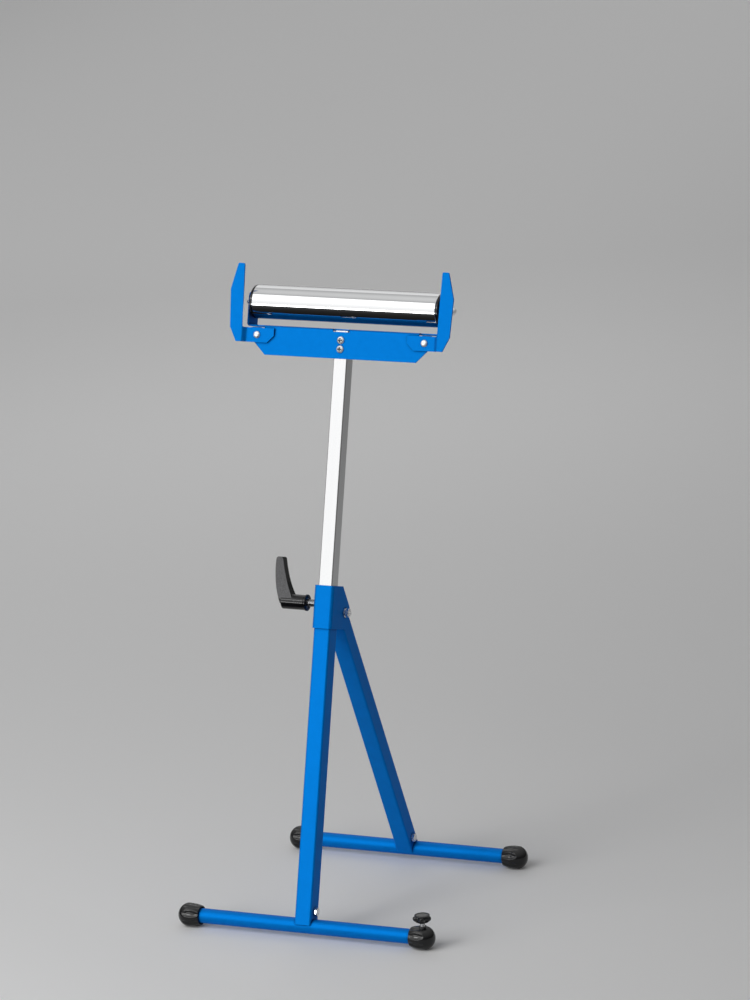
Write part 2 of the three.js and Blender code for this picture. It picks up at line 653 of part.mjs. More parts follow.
// Handle: a ringed hub with a flat arm that sweeps up and outward from its outer end
function handle() {
  const hubRadius = CLAMP_HUB_DIAMETER / 2;
  const ringRadius = CLAMP_RING_DIAMETER / 2;
  const hub = turned([
    [hubBore, hubStart],
    [ringRadius, hubStart],
    [ringRadius, hubStart + CLAMP_RING_WIDTH],
    [hubRadius, hubStart + CLAMP_RING_WIDTH],
    [hubRadius, hubEnd],
    [CLAMP_SCREW_DIAMETER + GAP, hubEnd],
    [CLAMP_SCREW_DIAMETER + GAP, headSeat],
    [retainerRadius + GAP, headSeat],
    [retainerRadius + GAP, springEnd],
    [hubBore, springEnd],
    [hubBore, hubStart],
  ], ROUND);
  const tipOuter = hubEnd + CLAMP_ARM_SWEEP;
  const tipInner = tipOuter - CLAMP_ARM_WIDTH;
  const tipRound = CLAMP_ARM_WIDTH / 3;
  const rootInner = hubEnd - CLAMP_ARM_ROOT;
  const shape = new THREE.Shape();
  shape.moveTo(rootInner, hubRadius - 2);
  shape.bezierCurveTo(
    rootInner + 7,
    hubRadius + 11,
    tipInner - 6,
    CLAMP_ARM_RISE * 0.54,
    tipInner,
    CLAMP_ARM_RISE - tipRound,
  );
  shape.quadraticCurveTo(tipInner, CLAMP_ARM_RISE, tipInner + tipRound, CLAMP_ARM_RISE);
  shape.lineTo(tipOuter - tipRound, CLAMP_ARM_RISE);
  shape.quadraticCurveTo(tipOuter, CLAMP_ARM_RISE, tipOuter, CLAMP_ARM_RISE - tipRound);
  shape.bezierCurveTo(
    tipOuter + 2,
    CLAMP_ARM_RISE * 0.6,
    tipOuter - 2,
    CLAMP_ARM_RISE * 0.24,
    hubEnd + 1,
    -hubRadius * 0.3,
  );
  shape.lineTo(headSeat, -hubRadius * 0.3);
  shape.lineTo(headSeat, CLAMP_SCREW_DIAMETER + 2);
  shape.lineTo(rootInner, hubRadius - 2);
  const turn = new THREE.Matrix4().makeBasis(
    new THREE.Vector3(0, 0, 1),
    new THREE.Vector3(0, 1, 0),
    new THREE.Vector3(-1, 0, 0),
  );
  const arm = prism(shape, -CLAMP_ARM_DEPTH / 2, CLAMP_ARM_DEPTH / 2, 6).applyMatrix4(turn);
  const screwPocket = rod(CLAMP_SCREW_DIAMETER + GAP, headSeat, hubEnd + CLAMP_ARM_SWEEP, ROUND);
  return cut(join(hub, arm), screwPocket);
}
piece('clamp_lever', clamp, handle(), BLACK_PLASTIC);

// Inner post: zinc plated square tube with a glide plug in its lower end
const innerCorner = TUBE_CORNER - TUBE_WALL / 2;
const cradleBolts = [
  ['upper', cradleTop - CRADLE_BOLT_DROP],
  ['lower', cradleTop - CRADLE_BOLT_DROP - CRADLE_BOLT_PITCH],
];
const innerBoltHoles = cradleBolts.map(([, z]) => (
  drillY(BOLT_M6.diameter / 2 + GAP, 0, z, -TUBE_SIDE, TUBE_SIDE)
));
piece('inner_post', post, cut(
  squareTube(innerHalf, INNER_WALL, innerCorner, innerBottom, innerTop),
  ...innerBoltHoles,
), BRIGHT_ZINC);
const plugFlangeTop = innerBottom - GAP;
const plugFlange = roundedSquare(tubeBoreHalf - GAP, TUBE_CORNER - TUBE_WALL);
const plugSkirt = roundedSquare(innerHalf - INNER_WALL - GAP, innerCorner / 2);
piece('inner_post_plug', post, join(
  prism(plugFlange, plugFlangeTop - PLUG_FLANGE, plugFlangeTop),
  prism(plugSkirt, plugFlangeTop - 1, plugFlangeTop + PLUG_DEPTH),
), BLACK_PLASTIC);

// Cradle: the plate on the inner post's front, its top folded back to a flange
// and the flange's ends turned up as ears
function cradle() {
  const flangeBottom = cradleTop - CRADLE_SHEET;
  const earFront = AXLE_BACK - EAR_WIDTH / 2;
  const earRear = AXLE_BACK + EAR_WIDTH / 2;
  const innerFold = FOLD_RADIUS - CRADLE_SHEET;
  const plateTop = cradleTop - FOLD_RADIUS;
  const reliefBottom = plateTop - RELIEF_DEPTH;
  const reliefOuter = foldHalf + RELIEF_WIDTH;

  const plate = acrossY(outline([
    [PLATE_CHAMFER - plateHalf, cradleBottom],
    [plateHalf - PLATE_CHAMFER, cradleBottom],
    [plateHalf, cradleBottom + PLATE_CHAMFER],
    [plateHalf, plateTop],
    [reliefOuter, plateTop],
    [reliefOuter, reliefBottom],
    [foldHalf, reliefBottom],
    [foldHalf, plateTop],
    [-foldHalf, plateTop],
    [-foldHalf, reliefBottom],
    [-reliefOuter, reliefBottom],
    [-reliefOuter, plateTop],
    [-plateHalf, plateTop],
    [-plateHalf, cradleBottom + PLATE_CHAMFER],
  ]), plateFront, plateBack);

  const angle = new THREE.Shape();
  angle.moveTo(plateFront, reliefBottom);
  angle.lineTo(plateBack, reliefBottom);
  angle.lineTo(plateBack, plateTop);
  angle.absarc(plateBack + innerFold, plateTop, innerFold, Math.PI, Math.PI / 2, true);
  angle.lineTo(earRear, flangeBottom);
  angle.lineTo(earRear, cradleTop);
  angle.lineTo(plateFront + FOLD_RADIUS, cradleTop);
  angle.absarc(plateFront + FOLD_RADIUS, plateTop, FOLD_RADIUS, Math.PI / 2, Math.PI);
  const fold = acrossX(angle, -foldHalf, foldHalf, 3);

  const outerBend = EAR_BEND + CRADLE_SHEET;
  const earTop = axleHeight + EAR_ABOVE_AXLE;
  const strip = new THREE.Shape();
  strip.moveTo(earOuter, earTop + 1);
  strip.lineTo(earInner, earTop + 1);
  strip.absarc(earInner - EAR_BEND, cradleTop + EAR_BEND, EAR_BEND, 0, -Math.PI / 2, true);
  strip.absarc(EAR_BEND - earInner, cradleTop + EAR_BEND, EAR_BEND, -Math.PI / 2, -Math.PI, true);
  strip.lineTo(-earInner, earTop + 1);
  strip.lineTo(-earOuter, earTop + 1);
  strip.absarc(outerBend - earOuter, flangeBottom + outerBend, outerBend, Math.PI, Math.PI * 1.5);
  strip.absarc(earOuter - outerBend, flangeBottom + outerBend, outerBend, Math.PI * 1.5, Math.PI * 2);
  const lug = new THREE.Shape();
  lug.moveTo(earFront, flangeBottom - 1);
  lug.lineTo(earRear, flangeBottom - 1);
  lug.absarc(earRear - EAR_CORNER, earTop - EAR_CORNER, EAR_CORNER, 0, Math.PI / 2);
  lug.absarc(earFront + EAR_CORNER, earTop - EAR_CORNER, EAR_CORNER, Math.PI / 2, Math.PI);
  const ears = common(acrossY(strip, earFront, earRear), acrossX(lug, -2 * earOuter, 2 * earOuter, 8));

  const notchHalf = innerHalf + FOLD_NOTCH_SIDE;
  const notch = block(
    -notchHalf,
    notchHalf,
    plateFront - 1,
    plateFront + FOLD_RADIUS + 1,
    cradleTop - FOLD_NOTCH_DEPTH,
    cradleTop + 1,
  );
  const guideHoles = [-1, 1].map((side) => (
    drillY(BOLT_M6.diameter / 2 + GAP, side * guideBoltX, guideBoltHeight, plateFront - 1, plateBack + 1)
  ));
  const plateHoles = cradleBolts.map(([, z]) => (
    drillY(BOLT_M6.diameter / 2 + GAP, 0, z, plateFront - 1, plateBack + 1)
  ));
  const axleHole = drillX(AXLE_END_DIAMETER / 2 + GAP, AXLE_BACK, axleHeight, -2 * earOuter, 2 * earOuter);
  return cut(join(plate, fold, ears), notch, ...guideHoles, ...plateHoles, axleHole);
}
piece('cradle', post, cradle(), BLUE_PAINT);

// Cradle bolts: pan heads on the plate, nuts behind the inner post
const cradleStack = GAP + CRADLE_SHEET + 2 * (innerHalf + GAP) + BOLT_M6.nut + THREAD_PROUD;
const panHead = cut(
  join(
    dome(CRADLE_HEAD_DIAMETER / 2, BOLT_M6.head, 0, 3),
    rod(BOLT_M6.diameter / 2, -cradleStack, 1, SMALL),
  ),
  rod(CRADLE_RECESS_DIAMETER / 2, BOLT_M6.head - CRADLE_RECESS_DEPTH, BOLT_M6.head + 1, 6),
);
for (const [place, z] of cradleBolts) {
  const screw = panHead.clone().rotateX(Math.PI / 2).translate(0, plateFront - GAP, z);
  piece(`cradle_bolt_${place}`, post, screw, BRIGHT_ZINC);
  const nut = alongBack(hexNut(BOLT_M6)).translate(0, innerHalf + GAP, z);
  piece(`cradle_nut_${place}`, post, nut, BRIGHT_ZINC);
}

// Guides: a tab on the plate, a joggle forward and a tapering upright beside the roller
function guide(side) {
  const at = (x) => side * (guideBoltX + x);
  const tabFront = tabBack - GUIDE_SHEET;
  const uprightFront = tabFront - JOGGLE_RISE;
  const uprightInner = TAB_OUTER + JOGGLE_RUN;
  const uprightOuter = uprightInner + UPRIGHT_WIDTH;
  const bendShift = GUIDE_SHEET * Math.tan(Math.atan2(JOGGLE_RISE, JOGGLE_RUN) / 2);
  const section = outline([
    [at(-TAB_INNER), tabFront],
    [at(TAB_OUTER), tabFront],
    [at(uprightInner), uprightFront],
    [at(uprightOuter), uprightFront],
    [at(uprightOuter), uprightFront + GUIDE_SHEET],
    [at(uprightInner + bendShift), uprightFront + GUIDE_SHEET],
    [at(TAB_OUTER + bendShift), tabBack],
    [at(-TAB_INNER), tabBack],
  ]);
  const bottom = guideBoltHeight - TAB_BELOW;
  const top = guideBoltHeight + UPRIGHT_RISE;
  const tabTop = guideBoltHeight + TAB_ABOVE;
  const tipInner = uprightInner + UPRIGHT_FLARE;
  const tipOuter = tipInner + UPRIGHT_TIP_WIDTH;
  const face = new THREE.Shape();
  face.moveTo(at(-TAB_INNER), tabTop);
  face.lineTo(at(-TAB_INNER), bottom + TAB_CHAMFER);
  face.lineTo(at(TAB_CHAMFER - TAB_INNER), bottom);
  face.lineTo(at(uprightOuter - UPRIGHT_CHAMFER_WIDTH), bottom);
  face.lineTo(at(uprightOuter - UPRIGHT_FLARE), bottom + UPRIGHT_CHAMFER_RISE);
  face.lineTo(at(uprightOuter), top - UPRIGHT_TAPER);
  face.lineTo(at(tipOuter), top - UPRIGHT_TIP_RADIUS);
  face.quadraticCurveTo(at(tipOuter), top, at(tipOuter - UPRIGHT_TIP_RADIUS), top);
  face.lineTo(at(tipInner + UPRIGHT_TIP_RADIUS), top);
  face.quadraticCurveTo(at(tipInner), top, at(tipInner), top - UPRIGHT_TIP_RADIUS);
  face.lineTo(at(uprightInner), tabTop + UPRIGHT_TIP_RADIUS);
  face.quadraticCurveTo(at(uprightInner), tabTop, at(uprightInner - UPRIGHT_TIP_RADIUS), tabTop);
  const sheet = prism(section, bottom - 1, top + 1);
  const blank = acrossY(face, uprightFront - 1, tabBack + 1, 4);
  const hole = drillY(BOLT_M6.diameter / 2 + GAP, at(0), guideBoltHeight, tabFront - 1, tabBack + 1);
  return cut(common(sheet, blank), hole);
}

// Guide bolts: round heads on the tabs, washers and nuts behind the plate
const guideStack = GUIDE_SHEET + CRADLE_SHEET + 3 * GAP + WASHER_THICKNESS + BOLT_M6.nut + THREAD_PROUD;
for (const [name, side] of [['left', -1], ['right', 1]]) {
  const x = side * guideBoltX;
  piece(`${name}_guide`, post, guide(side), BLUE_PAINT);
  const bolt = join(
    dome(GUIDE_HEAD_DIAMETER / 2, BOLT_M6.head, 0),
    rod(BOLT_M6.diameter / 2, -guideStack - GAP, 1, SMALL),
  );
  const headSeatY = tabBack - GUIDE_SHEET - GAP;
  const facing = bolt.rotateX(Math.PI / 2).translate(x, headSeatY, guideBoltHeight);
  piece(`guide_bolt_${name}`, post, facing, BRIGHT_ZINC);
  const disc = alongBack(washer(GUIDE_WASHER_DIAMETER, BOLT_M6.diameter, WASHER_THICKNESS));
  const washerY = plateBack + GAP;
  piece(`guide_washer_${name}`, post, disc.translate(x, washerY, guideBoltHeight), BRIGHT_ZINC);
  const nut = alongBack(hexNut(BOLT_M6));
  const nutY = washerY + WASHER_THICKNESS + GAP;
  piece(`guide_nut_${name}`, post, nut.translate(x, nutY, guideBoltHeight), BRIGHT_ZINC);
}

// Axle: shouldered between the ears, a plain nut on the left and a dome nut on the right
const roller = group(post, AXLE_BACK, axleHeight, 0);
const axleRadius = AXLE_DIAMETER / 2;
const endRadius = AXLE_END_DIAMETER / 2;
const nutSeat = earOuter + GAP;
const shoulder = earInner - GAP;
piece('axle', roller, alongX(turned([
  [0, -nutSeat - PLAIN_NUT_HEIGHT - AXLE_THREAD_PROUD],
  [endRadius, -nutSeat - PLAIN_NUT_HEIGHT - AXLE_THREAD_PROUD],
  [endRadius, -shoulder],
  [axleRadius, -shoulder],
  [axleRadius, shoulder],
  [endRadius, shoulder],
  [endRadius, nutSeat + DOME_NUT_HEIGHT],
  [0, nutSeat + DOME_NUT_HEIGHT],
], SMALL)), BRIGHT_ZINC);
const axleNut = { diameter: AXLE_END_DIAMETER, acrossFlats: AXLE_NUT_ACROSS };
const plainNut = alongX(hexNut(axleNut, PLAIN_NUT_HEIGHT)).translate(-nutSeat - PLAIN_NUT_HEIGHT, 0, 0);
piece('axle_nut', roller, plainNut, BRIGHT_ZINC);
const domeNut = cut(
  join(
    hexPrism(AXLE_NUT_ACROSS, 0, DOME_NUT_HEIGHT),
    dome(DOME_RADIUS, DOME_HEIGHT + 1, DOME_NUT_HEIGHT - 1),
  ),
  rod(endRadius + GAP, -1, DOME_NUT_HEIGHT + GAP, SMALL),
);
piece('axle_dome_nut', roller, alongX(domeNut).translate(nutSeat, 0, 0), BRIGHT_ZINC);

// Roller: chromed tube, plastic end caps pressed in, each with a ball bearing on the axle
const rollerRadius = ROLLER_DIAMETER / 2;
const rollerBore = rollerRadius - ROLLER_WALL;
piece('roller_tube', roller, alongX(
  ring(rollerBore, rollerRadius, -ROLLER_LENGTH / 2, ROLLER_LENGTH / 2, FINE),
), CHROME);
const capSeat = ROLLER_LENGTH / 2 + GAP;
const bearingStart = capOuter - BEARING_WIDTH;
for (const [name, side] of [['left', -1], ['right', 1]]) {
  const face = (geometry) => (side < 0 ? alongX(geometry).rotateZ(Math.PI) : alongX(geometry));
  const seat = BEARING_DIAMETER / 2 + GAP;
  piece(`roller_cap_${name}`, roller, face(turned([
    [axleRadius + 2 * GAP, capSeat - ROLLER_CAP_DEPTH],
    [rollerBore - GAP, capSeat - ROLLER_CAP_DEPTH],
    [rollerBore - GAP, capSeat],
    [rollerRadius - GAP, capSeat],
    [rollerRadius - GAP, capOuter - 1],
    [rollerRadius - GAP - 1, capOuter],
    [seat, capOuter],
    [seat, bearingStart - GAP],
    [axleRadius + 2 * GAP, bearingStart - GAP],
    [axleRadius + 2 * GAP, capSeat - ROLLER_CAP_DEPTH],
  ], ROUND)), BLACK_PLASTIC);
  const bearing = ring(axleRadius + GAP, BEARING_DIAMETER / 2, bearingStart, capOuter);
  piece(`roller_bearing_${name}`, roller, face(bearing), BEARING_STEEL);
  const spacer = ring(axleRadius + GAP, SPACER_DIAMETER / 2, capOuter + GAP, shoulder, SMALL);
  piece(`axle_spacer_${name}`, roller, face(spacer), BRIGHT_ZINC);
}

export default stand;
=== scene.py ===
from math import acos, atan2, cos, floor, hypot, pi, radians, sin, sqrt, tan

import bmesh
import bpy
from mathutils import Matrix, Vector


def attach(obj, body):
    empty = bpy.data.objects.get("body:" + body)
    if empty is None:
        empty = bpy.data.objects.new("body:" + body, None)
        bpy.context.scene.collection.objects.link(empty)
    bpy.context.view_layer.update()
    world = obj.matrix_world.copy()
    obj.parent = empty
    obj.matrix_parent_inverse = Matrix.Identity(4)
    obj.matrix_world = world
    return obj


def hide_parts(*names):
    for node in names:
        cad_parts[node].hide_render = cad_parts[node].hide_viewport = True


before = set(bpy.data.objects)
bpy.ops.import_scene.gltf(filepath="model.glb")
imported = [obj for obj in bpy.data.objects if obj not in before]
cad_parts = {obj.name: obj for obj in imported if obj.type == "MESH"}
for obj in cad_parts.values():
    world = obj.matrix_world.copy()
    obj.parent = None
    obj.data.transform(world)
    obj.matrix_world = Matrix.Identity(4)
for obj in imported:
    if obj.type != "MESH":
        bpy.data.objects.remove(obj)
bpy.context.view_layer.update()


# Studio.
# A pale matt floor in a dim room. A softbox, a hard key and a low strip stand at the front left, and a fill
# behind. A wash lights the far floor. The roller mirrors them, and a black flag below them, as its bands.
scene = bpy.context.scene
scene.view_settings.view_transform = "Standard"


def shader(name):
    material = bpy.data.materials.new(name)
    material.use_nodes = True
    return material, material.node_tree.nodes, material.node_tree.links


def board(name, width, height, grey, place):
    """A flat matt board of the studio, facing along its own +Z."""
    mesh = bpy.data.meshes.new(name)
    bm = bmesh.new()
    bmesh.ops.create_grid(bm, x_segments=1, y_segments=1, size=0.5)
    bmesh.ops.scale(bm, vec=(width, height, 1), verts=bm.verts)
    bmesh.ops.transform(bm, matrix=place, verts=bm.verts)
    bm.to_mesh(mesh)
    bm.free()
    paint, nodes, links = shader(f"{name}_paint")
    nodes["Principled BSDF"].inputs["Base Color"].default_value = (grey, grey, grey, 1)
    nodes["Principled BSDF"].inputs["Roughness"].default_value = 0.9
    nodes["Principled BSDF"].inputs["Specular IOR Level"].default_value = 0.1
    mesh.materials.append(paint)
    flat = bpy.data.objects.new(name, mesh)
    scene.collection.objects.link(flat)
    return flat


board("studio_floor", 60, 60, 0.88, Matrix.Identity(4))

# The room lights the stand evenly, and polished metal sees it as dark low down and light overhead
ROOM_LIGHT = 0.21
ROOM_GREYS = [(0.0, 0.12), (0.18, 0.14), (0.47, 0.45), (0.66, 0.62), (0.84, 0.74), (0.91, 0.98)]
room = bpy.data.worlds.new("studio_room")
scene.world = room
room.use_nodes = True
nodes = room.node_tree.nodes
links = room.node_tree.links
way = nodes.new("ShaderNodeTexCoord")
split = nodes.new("ShaderNodeSeparateXYZ")
ramp = nodes.new("ShaderNodeValToRGB")
links.new(way.outputs["Generated"], split.inputs["Vector"])
links.new(split.outputs["Z"], ramp.inputs["Fac"])
stops = ramp.color_ramp.elements
stops.remove(stops[1])
for index, (height, grey) in enumerate(ROOM_GREYS):
    stop = stops[0] if index == 0 else stops.new(height)
    stop.position = height
    stop.color = (grey, grey, grey, 1)
ray = nodes.new("ShaderNodeLightPath")
seen = nodes.new("ShaderNodeMath")
seen.operation = "ADD"
seen_through = nodes.new("ShaderNodeMath")
seen_through.operation = "ADD"
seen_through.use_clamp = True
links.new(ray.outputs["Is Camera Ray"], seen.inputs[0])
links.new(ray.outputs["Is Glossy Ray"], seen.inputs[1])
links.new(seen.outputs["Value"], seen_through.inputs[0])
links.new(ray.outputs["Is Transmission Ray"], seen_through.inputs[1])
choice = nodes.new("ShaderNodeMix")
choice.data_type = "RGBA"
choice.inputs["A"].default_value = (ROOM_LIGHT, ROOM_LIGHT, ROOM_LIGHT, 1)
links.new(seen_through.outputs["Value"], choice.inputs["Factor"])
links.new(ramp.outputs["Color"], choice.inputs["B"])
links.new(choice.outputs["Result"], nodes["Background"].inputs["Color"])


def panel(name, place, target, width, height, radiance):
    """A rectangular lamp of this even brightness, out of the camera's sight."""
    data = bpy.data.lights.new(name, "AREA")
    data.shape = "RECTANGLE"
    data.size = width
    data.size_y = height
    data.energy = pi * width * height * radiance
    lamp = bpy.data.objects.new(name, data)
    facing = (Vector(target) - Vector(place)).to_track_quat("-Z", "Y").to_matrix().to_4x4()
    lamp.matrix_world = Matrix.Translation(place) @ facing
    lamp.visible_camera = False
    scene.collection.objects.link(lamp)
    return lamp


panel("softbox", (-1.45, -2.75, 2.4), (0, 0, 0.8), 4.4, 4.2, 1.34)
panel("key", (-1.42, -2.6, 2.8), (0, 0, 0.6), 1.0, 0.5, 7.0)
panel("strip", (-1.3, -2.7, 0.75), (0, 0, 0.55), 1.1, 0.4, 9.0)
panel("fill", (-1.7, 2.6, 2.5), (0, 0, 0.6), 3.0, 2.6, 0.55)
wash = panel("wash", (-3.0, 6.6, 5.0), (-3.0, 6.6, 0), 5.0, 8.0, 0.22)
wash.data.spread = radians(50)
wash.visible_glossy = False

FLAG_NEAR = Vector((-0.22, -0.34, 0.004))
FLAG_FAR = Vector((-1.92, -3.58, 0.5))
flag_run = FLAG_FAR - FLAG_NEAR
flag = board(
    "flag", 5.0, flag_run.length, 0.02,
    Matrix.Translation((FLAG_NEAR + FLAG_FAR) / 2) @ flag_run.to_track_quat("Y", "Z").to_matrix().to_4x4(),
)
flag.visible_camera = False
flag.visible_shadow = False
flag.visible_diffuse = False

CAMERA_PLACE = Vector((4.0859, -8.3674, 3.2653))
camera = bpy.data.objects.new("camera", bpy.data.cameras.new("camera"))
scene.collection.objects.link(camera)
scene.camera = camera
camera.data.lens = 207.2
camera.data.sensor_width = 36
camera.data.clip_end = 60
yaw, pitch, roll = radians(25.6), radians(15.4), radians(-3.48)
ahead = Vector((-sin(yaw) * cos(pitch), cos(yaw) * cos(pitch), -sin(pitch)))
level = Vector((cos(yaw), sin(yaw), 0))
upward = level.cross(ahead)
right = cos(roll) * level + sin(roll) * upward
above = cos(roll) * upward - sin(roll) * level
camera.matrix_world = Matrix((
    (right.x, above.x, -ahead.x, CAMERA_PLACE.x),
    (right.y, above.y, -ahead.y, CAMERA_PLACE.y),
    (right.z, above.z, -ahead.z, CAMERA_PLACE.z),
    (0, 0, 0, 1),
))


# Foot bars.
# Round steel tube, one across the front and one across the rear, each with a short square spigot welded on
# that its leg stands over. Both are powder coated blue after welding.
FOOT_HEIGHT = 19.5
FOOT_SPREAD = 416
LEAN = radians(17)
PIVOT_BACK = 35
PIVOT_HEIGHT = 528
pivot_y = PIVOT_BACK * cos(LEAN) + PIVOT_HEIGHT * sin(LEAN)
pivot_z = PIVOT_HEIGHT * cos(LEAN) - PIVOT_BACK * sin(LEAN)
LEG_LEAN = atan2(FOOT_SPREAD - pivot_y, pivot_z)
LEG_LENGTH = hypot(FOOT_SPREAD - pivot_y, pivot_z)

# Places are in millimetres: each piece is drawn about its own axis and then carried to the stand
front_foot = Matrix.Translation((0, -FOOT_SPREAD / 2, FOOT_HEIGHT))
rear_foot = Matrix.Translation((0, FOOT_SPREAD / 2, FOOT_HEIGHT))
up_post = front_foot @ Matrix.Rotation(-LEAN, 4, "X")
up_leg = rear_foot @ Matrix.Rotation(LEG_LEAN, 4, "X")
to_x = Matrix.Rotation(pi / 2, 4, "Y")
to_left = Matrix.Rotation(-pi / 2, 4, "Y")
to_front = Matrix.Rotation(pi / 2, 4, "X")
to_back = Matrix.Rotation(-pi / 2, 4, "X")


def at(x, y, z):
    return Matrix.Translation((x, y, z))


def outward(bm):
    bmesh.ops.remove_doubles(bm, verts=bm.verts, dist=1e-4)
    bmesh.ops.recalc_face_normals(bm, faces=bm.faces)
    return bm


def turned(profile, steps=64, closed=False):
    """A turned shape about Z from (radius, height) points."""
    bm = bmesh.new()
    points = [bm.verts.new((radius, 0, height)) for radius, height in profile]
    line = [bm.edges.new(pair) for pair in zip(points, points[1:])]
    if closed:
        line.append(bm.edges.new((points[-1], points[0])))
    bmesh.ops.spin(
        bm, geom=points + line, cent=(0, 0, 0), axis=(0, 0, 1), angle=2 * pi, steps=steps, use_merge=True,
    )
    return outward(bm)


def soften(bm, width, segments=2, sharper=30):
    """Round over every edge that turns by more than so many degrees."""
    edges = [e for e in bm.edges if len(e.link_faces) == 2 and e.calc_face_angle() > radians(sharper)]
    bmesh.ops.bevel(
        bm, geom=edges, offset=width, offset_type="OFFSET", segments=segments,
        profile=0.5, affect="EDGES", clamp_overlap=True, material=-1,
    )
    return bm


def rounded_square(half, corner, steps=6):
    flat = half - corner
    points = []
    for quarter in range(4):
        middle = quarter * pi / 2 + pi / 4
        cx = flat * (1 if cos(middle) > 0 else -1)
        cy = flat * (1 if sin(middle) > 0 else -1)
        for step in range(steps + 1):
            angle = quarter * pi / 2 + step / steps * pi / 2
            points.append((cx + corner * cos(angle), cy + corner * sin(angle)))
    return points


def square_tube(half, corner, wall, low, high, saddle=0):
    """A square tube along Z. With a saddle radius its lower end is notched to sit over a bar along X."""
    bm = bmesh.new()
    loop = [bm.verts.new((x, y, low)) for x, y in rounded_square(half, corner)]
    rim = [bm.edges.new(pair) for pair in zip(loop, loop[1:] + loop[:1])]
    bmesh.ops.subdivide_edges(bm, edges=[e for e in rim if e.calc_length() > half], cuts=24)
    raised = bmesh.ops.extrude_edge_only(bm, edges=bm.edges[:])["geom"]
    top = [v for v in raised if isinstance(v, bmesh.types.BMVert)]
    bmesh.ops.translate(bm, verts=top, vec=(0, 0, high - low))
    for vert in bm.verts:
        if vert.co.z < low + 1 and abs(vert.co.y) < saddle:
            vert.co.z = max(low, sqrt(saddle ** 2 - vert.co.y ** 2))
    outward(bm)
    bmesh.ops.solidify(bm, geom=bm.faces[:], thickness=wall)
    return bm


def joined(*shapes):
    """Several shapes as one bmesh."""
    whole = bmesh.new()
    for shape in shapes:
        part = bpy.data.meshes.new("part")
        shape.to_mesh(part)
        shape.free()
        whole.from_mesh(part)
        bpy.data.meshes.remove(part)
    return whole


def moved(bm, place):
    bmesh.ops.transform(bm, matrix=place, verts=bm.verts)
    return bm


def piece(name, bm, place, body, cad_nodes, material, sharp=38):
    """Finish a shape drawn in millimetres as an object of the stand."""
    moved(bm, Matrix.Scale(0.001, 4) @ place)
    mesh = bpy.data.meshes.new(name)
    bm.to_mesh(mesh)
    bm.free()
    mesh.shade_smooth()
    mesh.set_sharp_from_angle(angle=radians(sharp))
    mesh.materials.append(material)
    obj = bpy.data.objects.new(name, mesh)
    scene.collection.objects.link(obj)
    obj.modifiers.new("flat_faces", "WEIGHTED_NORMAL").keep_sharp = True
    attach(obj, body)
    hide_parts(*cad_nodes)
    return obj


def group(name, inputs, outputs):
    tree = bpy.data.node_groups.new(name, "ShaderNodeTree")
    for label, kind, value in inputs:
        socket = tree.interface.new_socket(label, in_out="INPUT", socket_type=kind)
        if value is not None:
            socket.default_value = value
    for label, kind in outputs:
        tree.interface.new_socket(label, in_out="OUTPUT", socket_type=kind)
    return tree, tree.nodes.new("NodeGroupInput"), tree.nodes.new("NodeGroupOutput")


# Skin: the fine texture that a coat of paint, plating or moulding has, and slow cloudiness under it
skin, enter, leave = group(
    "skin",
    [
        ("Vector", "NodeSocketVector", None),
        ("Grain", "NodeSocketFloat", 900.0),
        ("Cloud", "NodeSocketFloat", 40.0),
    ],
    [("Height", "NodeSocketFloat"), ("Clouds", "NodeSocketFloat")],
)
grain = skin.nodes.new("ShaderNodeTexNoise")
grain.inputs["Detail"].default_value = 2.0
clouds = skin.nodes.new("ShaderNodeTexNoise")
clouds.inputs["Detail"].default_value = 4.0
clouds.inputs["Roughness"].default_value = 0.6
skin.links.new(enter.outputs["Vector"], grain.inputs["Vector"])
skin.links.new(enter.outputs["Vector"], clouds.inputs["Vector"])
skin.links.new(enter.outputs["Grain"], grain.inputs["Scale"])
skin.links.new(enter.outputs["Cloud"], clouds.inputs["Scale"])
skin.links.new(grain.outputs["Fac"], leave.inputs["Height"])
skin.links.new(clouds.outputs["Fac"], leave.inputs["Clouds"])


def over_noise(nodes, low, high):
    """A range from low to high over the middle of a noise, where nearly all of it lies."""
    ranged = nodes.new("ShaderNodeMapRange")
    ranged.inputs["From Min"].default_value = 0.3
    ranged.inputs["From Max"].default_value = 0.7
    ranged.inputs["To Min"].default_value = low
    ranged.inputs["To Max"].default_value = high
    return ranged


def varied(material, dark, light, rough, relief, depth, metallic):
    """Give a material a range of linear colours, a range of roughness and a relief of this depth in metres.
    Returns what its texture drives: the share of light, the gloss and the height."""
    nodes = material.node_tree.nodes
    links = material.node_tree.links
    colour = nodes.new("ShaderNodeMix")
    colour.data_type = "RGBA"
    colour.inputs["A"].default_value = (*dark, 1)
    colour.inputs["B"].default_value = (*light, 1)
    gloss = over_noise(nodes, *rough)
    bump = nodes.new("ShaderNodeBump")
    bump.inputs["Strength"].default_value = relief
    bump.inputs["Distance"].default_value = depth
    surface = nodes["Principled BSDF"]
    surface.inputs["Metallic"].default_value = metallic
    links.new(colour.outputs["Result"], surface.inputs["Base Color"])
    links.new(gloss.outputs["Result"], surface.inputs["Roughness"])
    links.new(bump.outputs["Normal"], surface.inputs["Normal"])
    return colour.inputs["Factor"], gloss.inputs["Value"], bump.inputs["Height"]


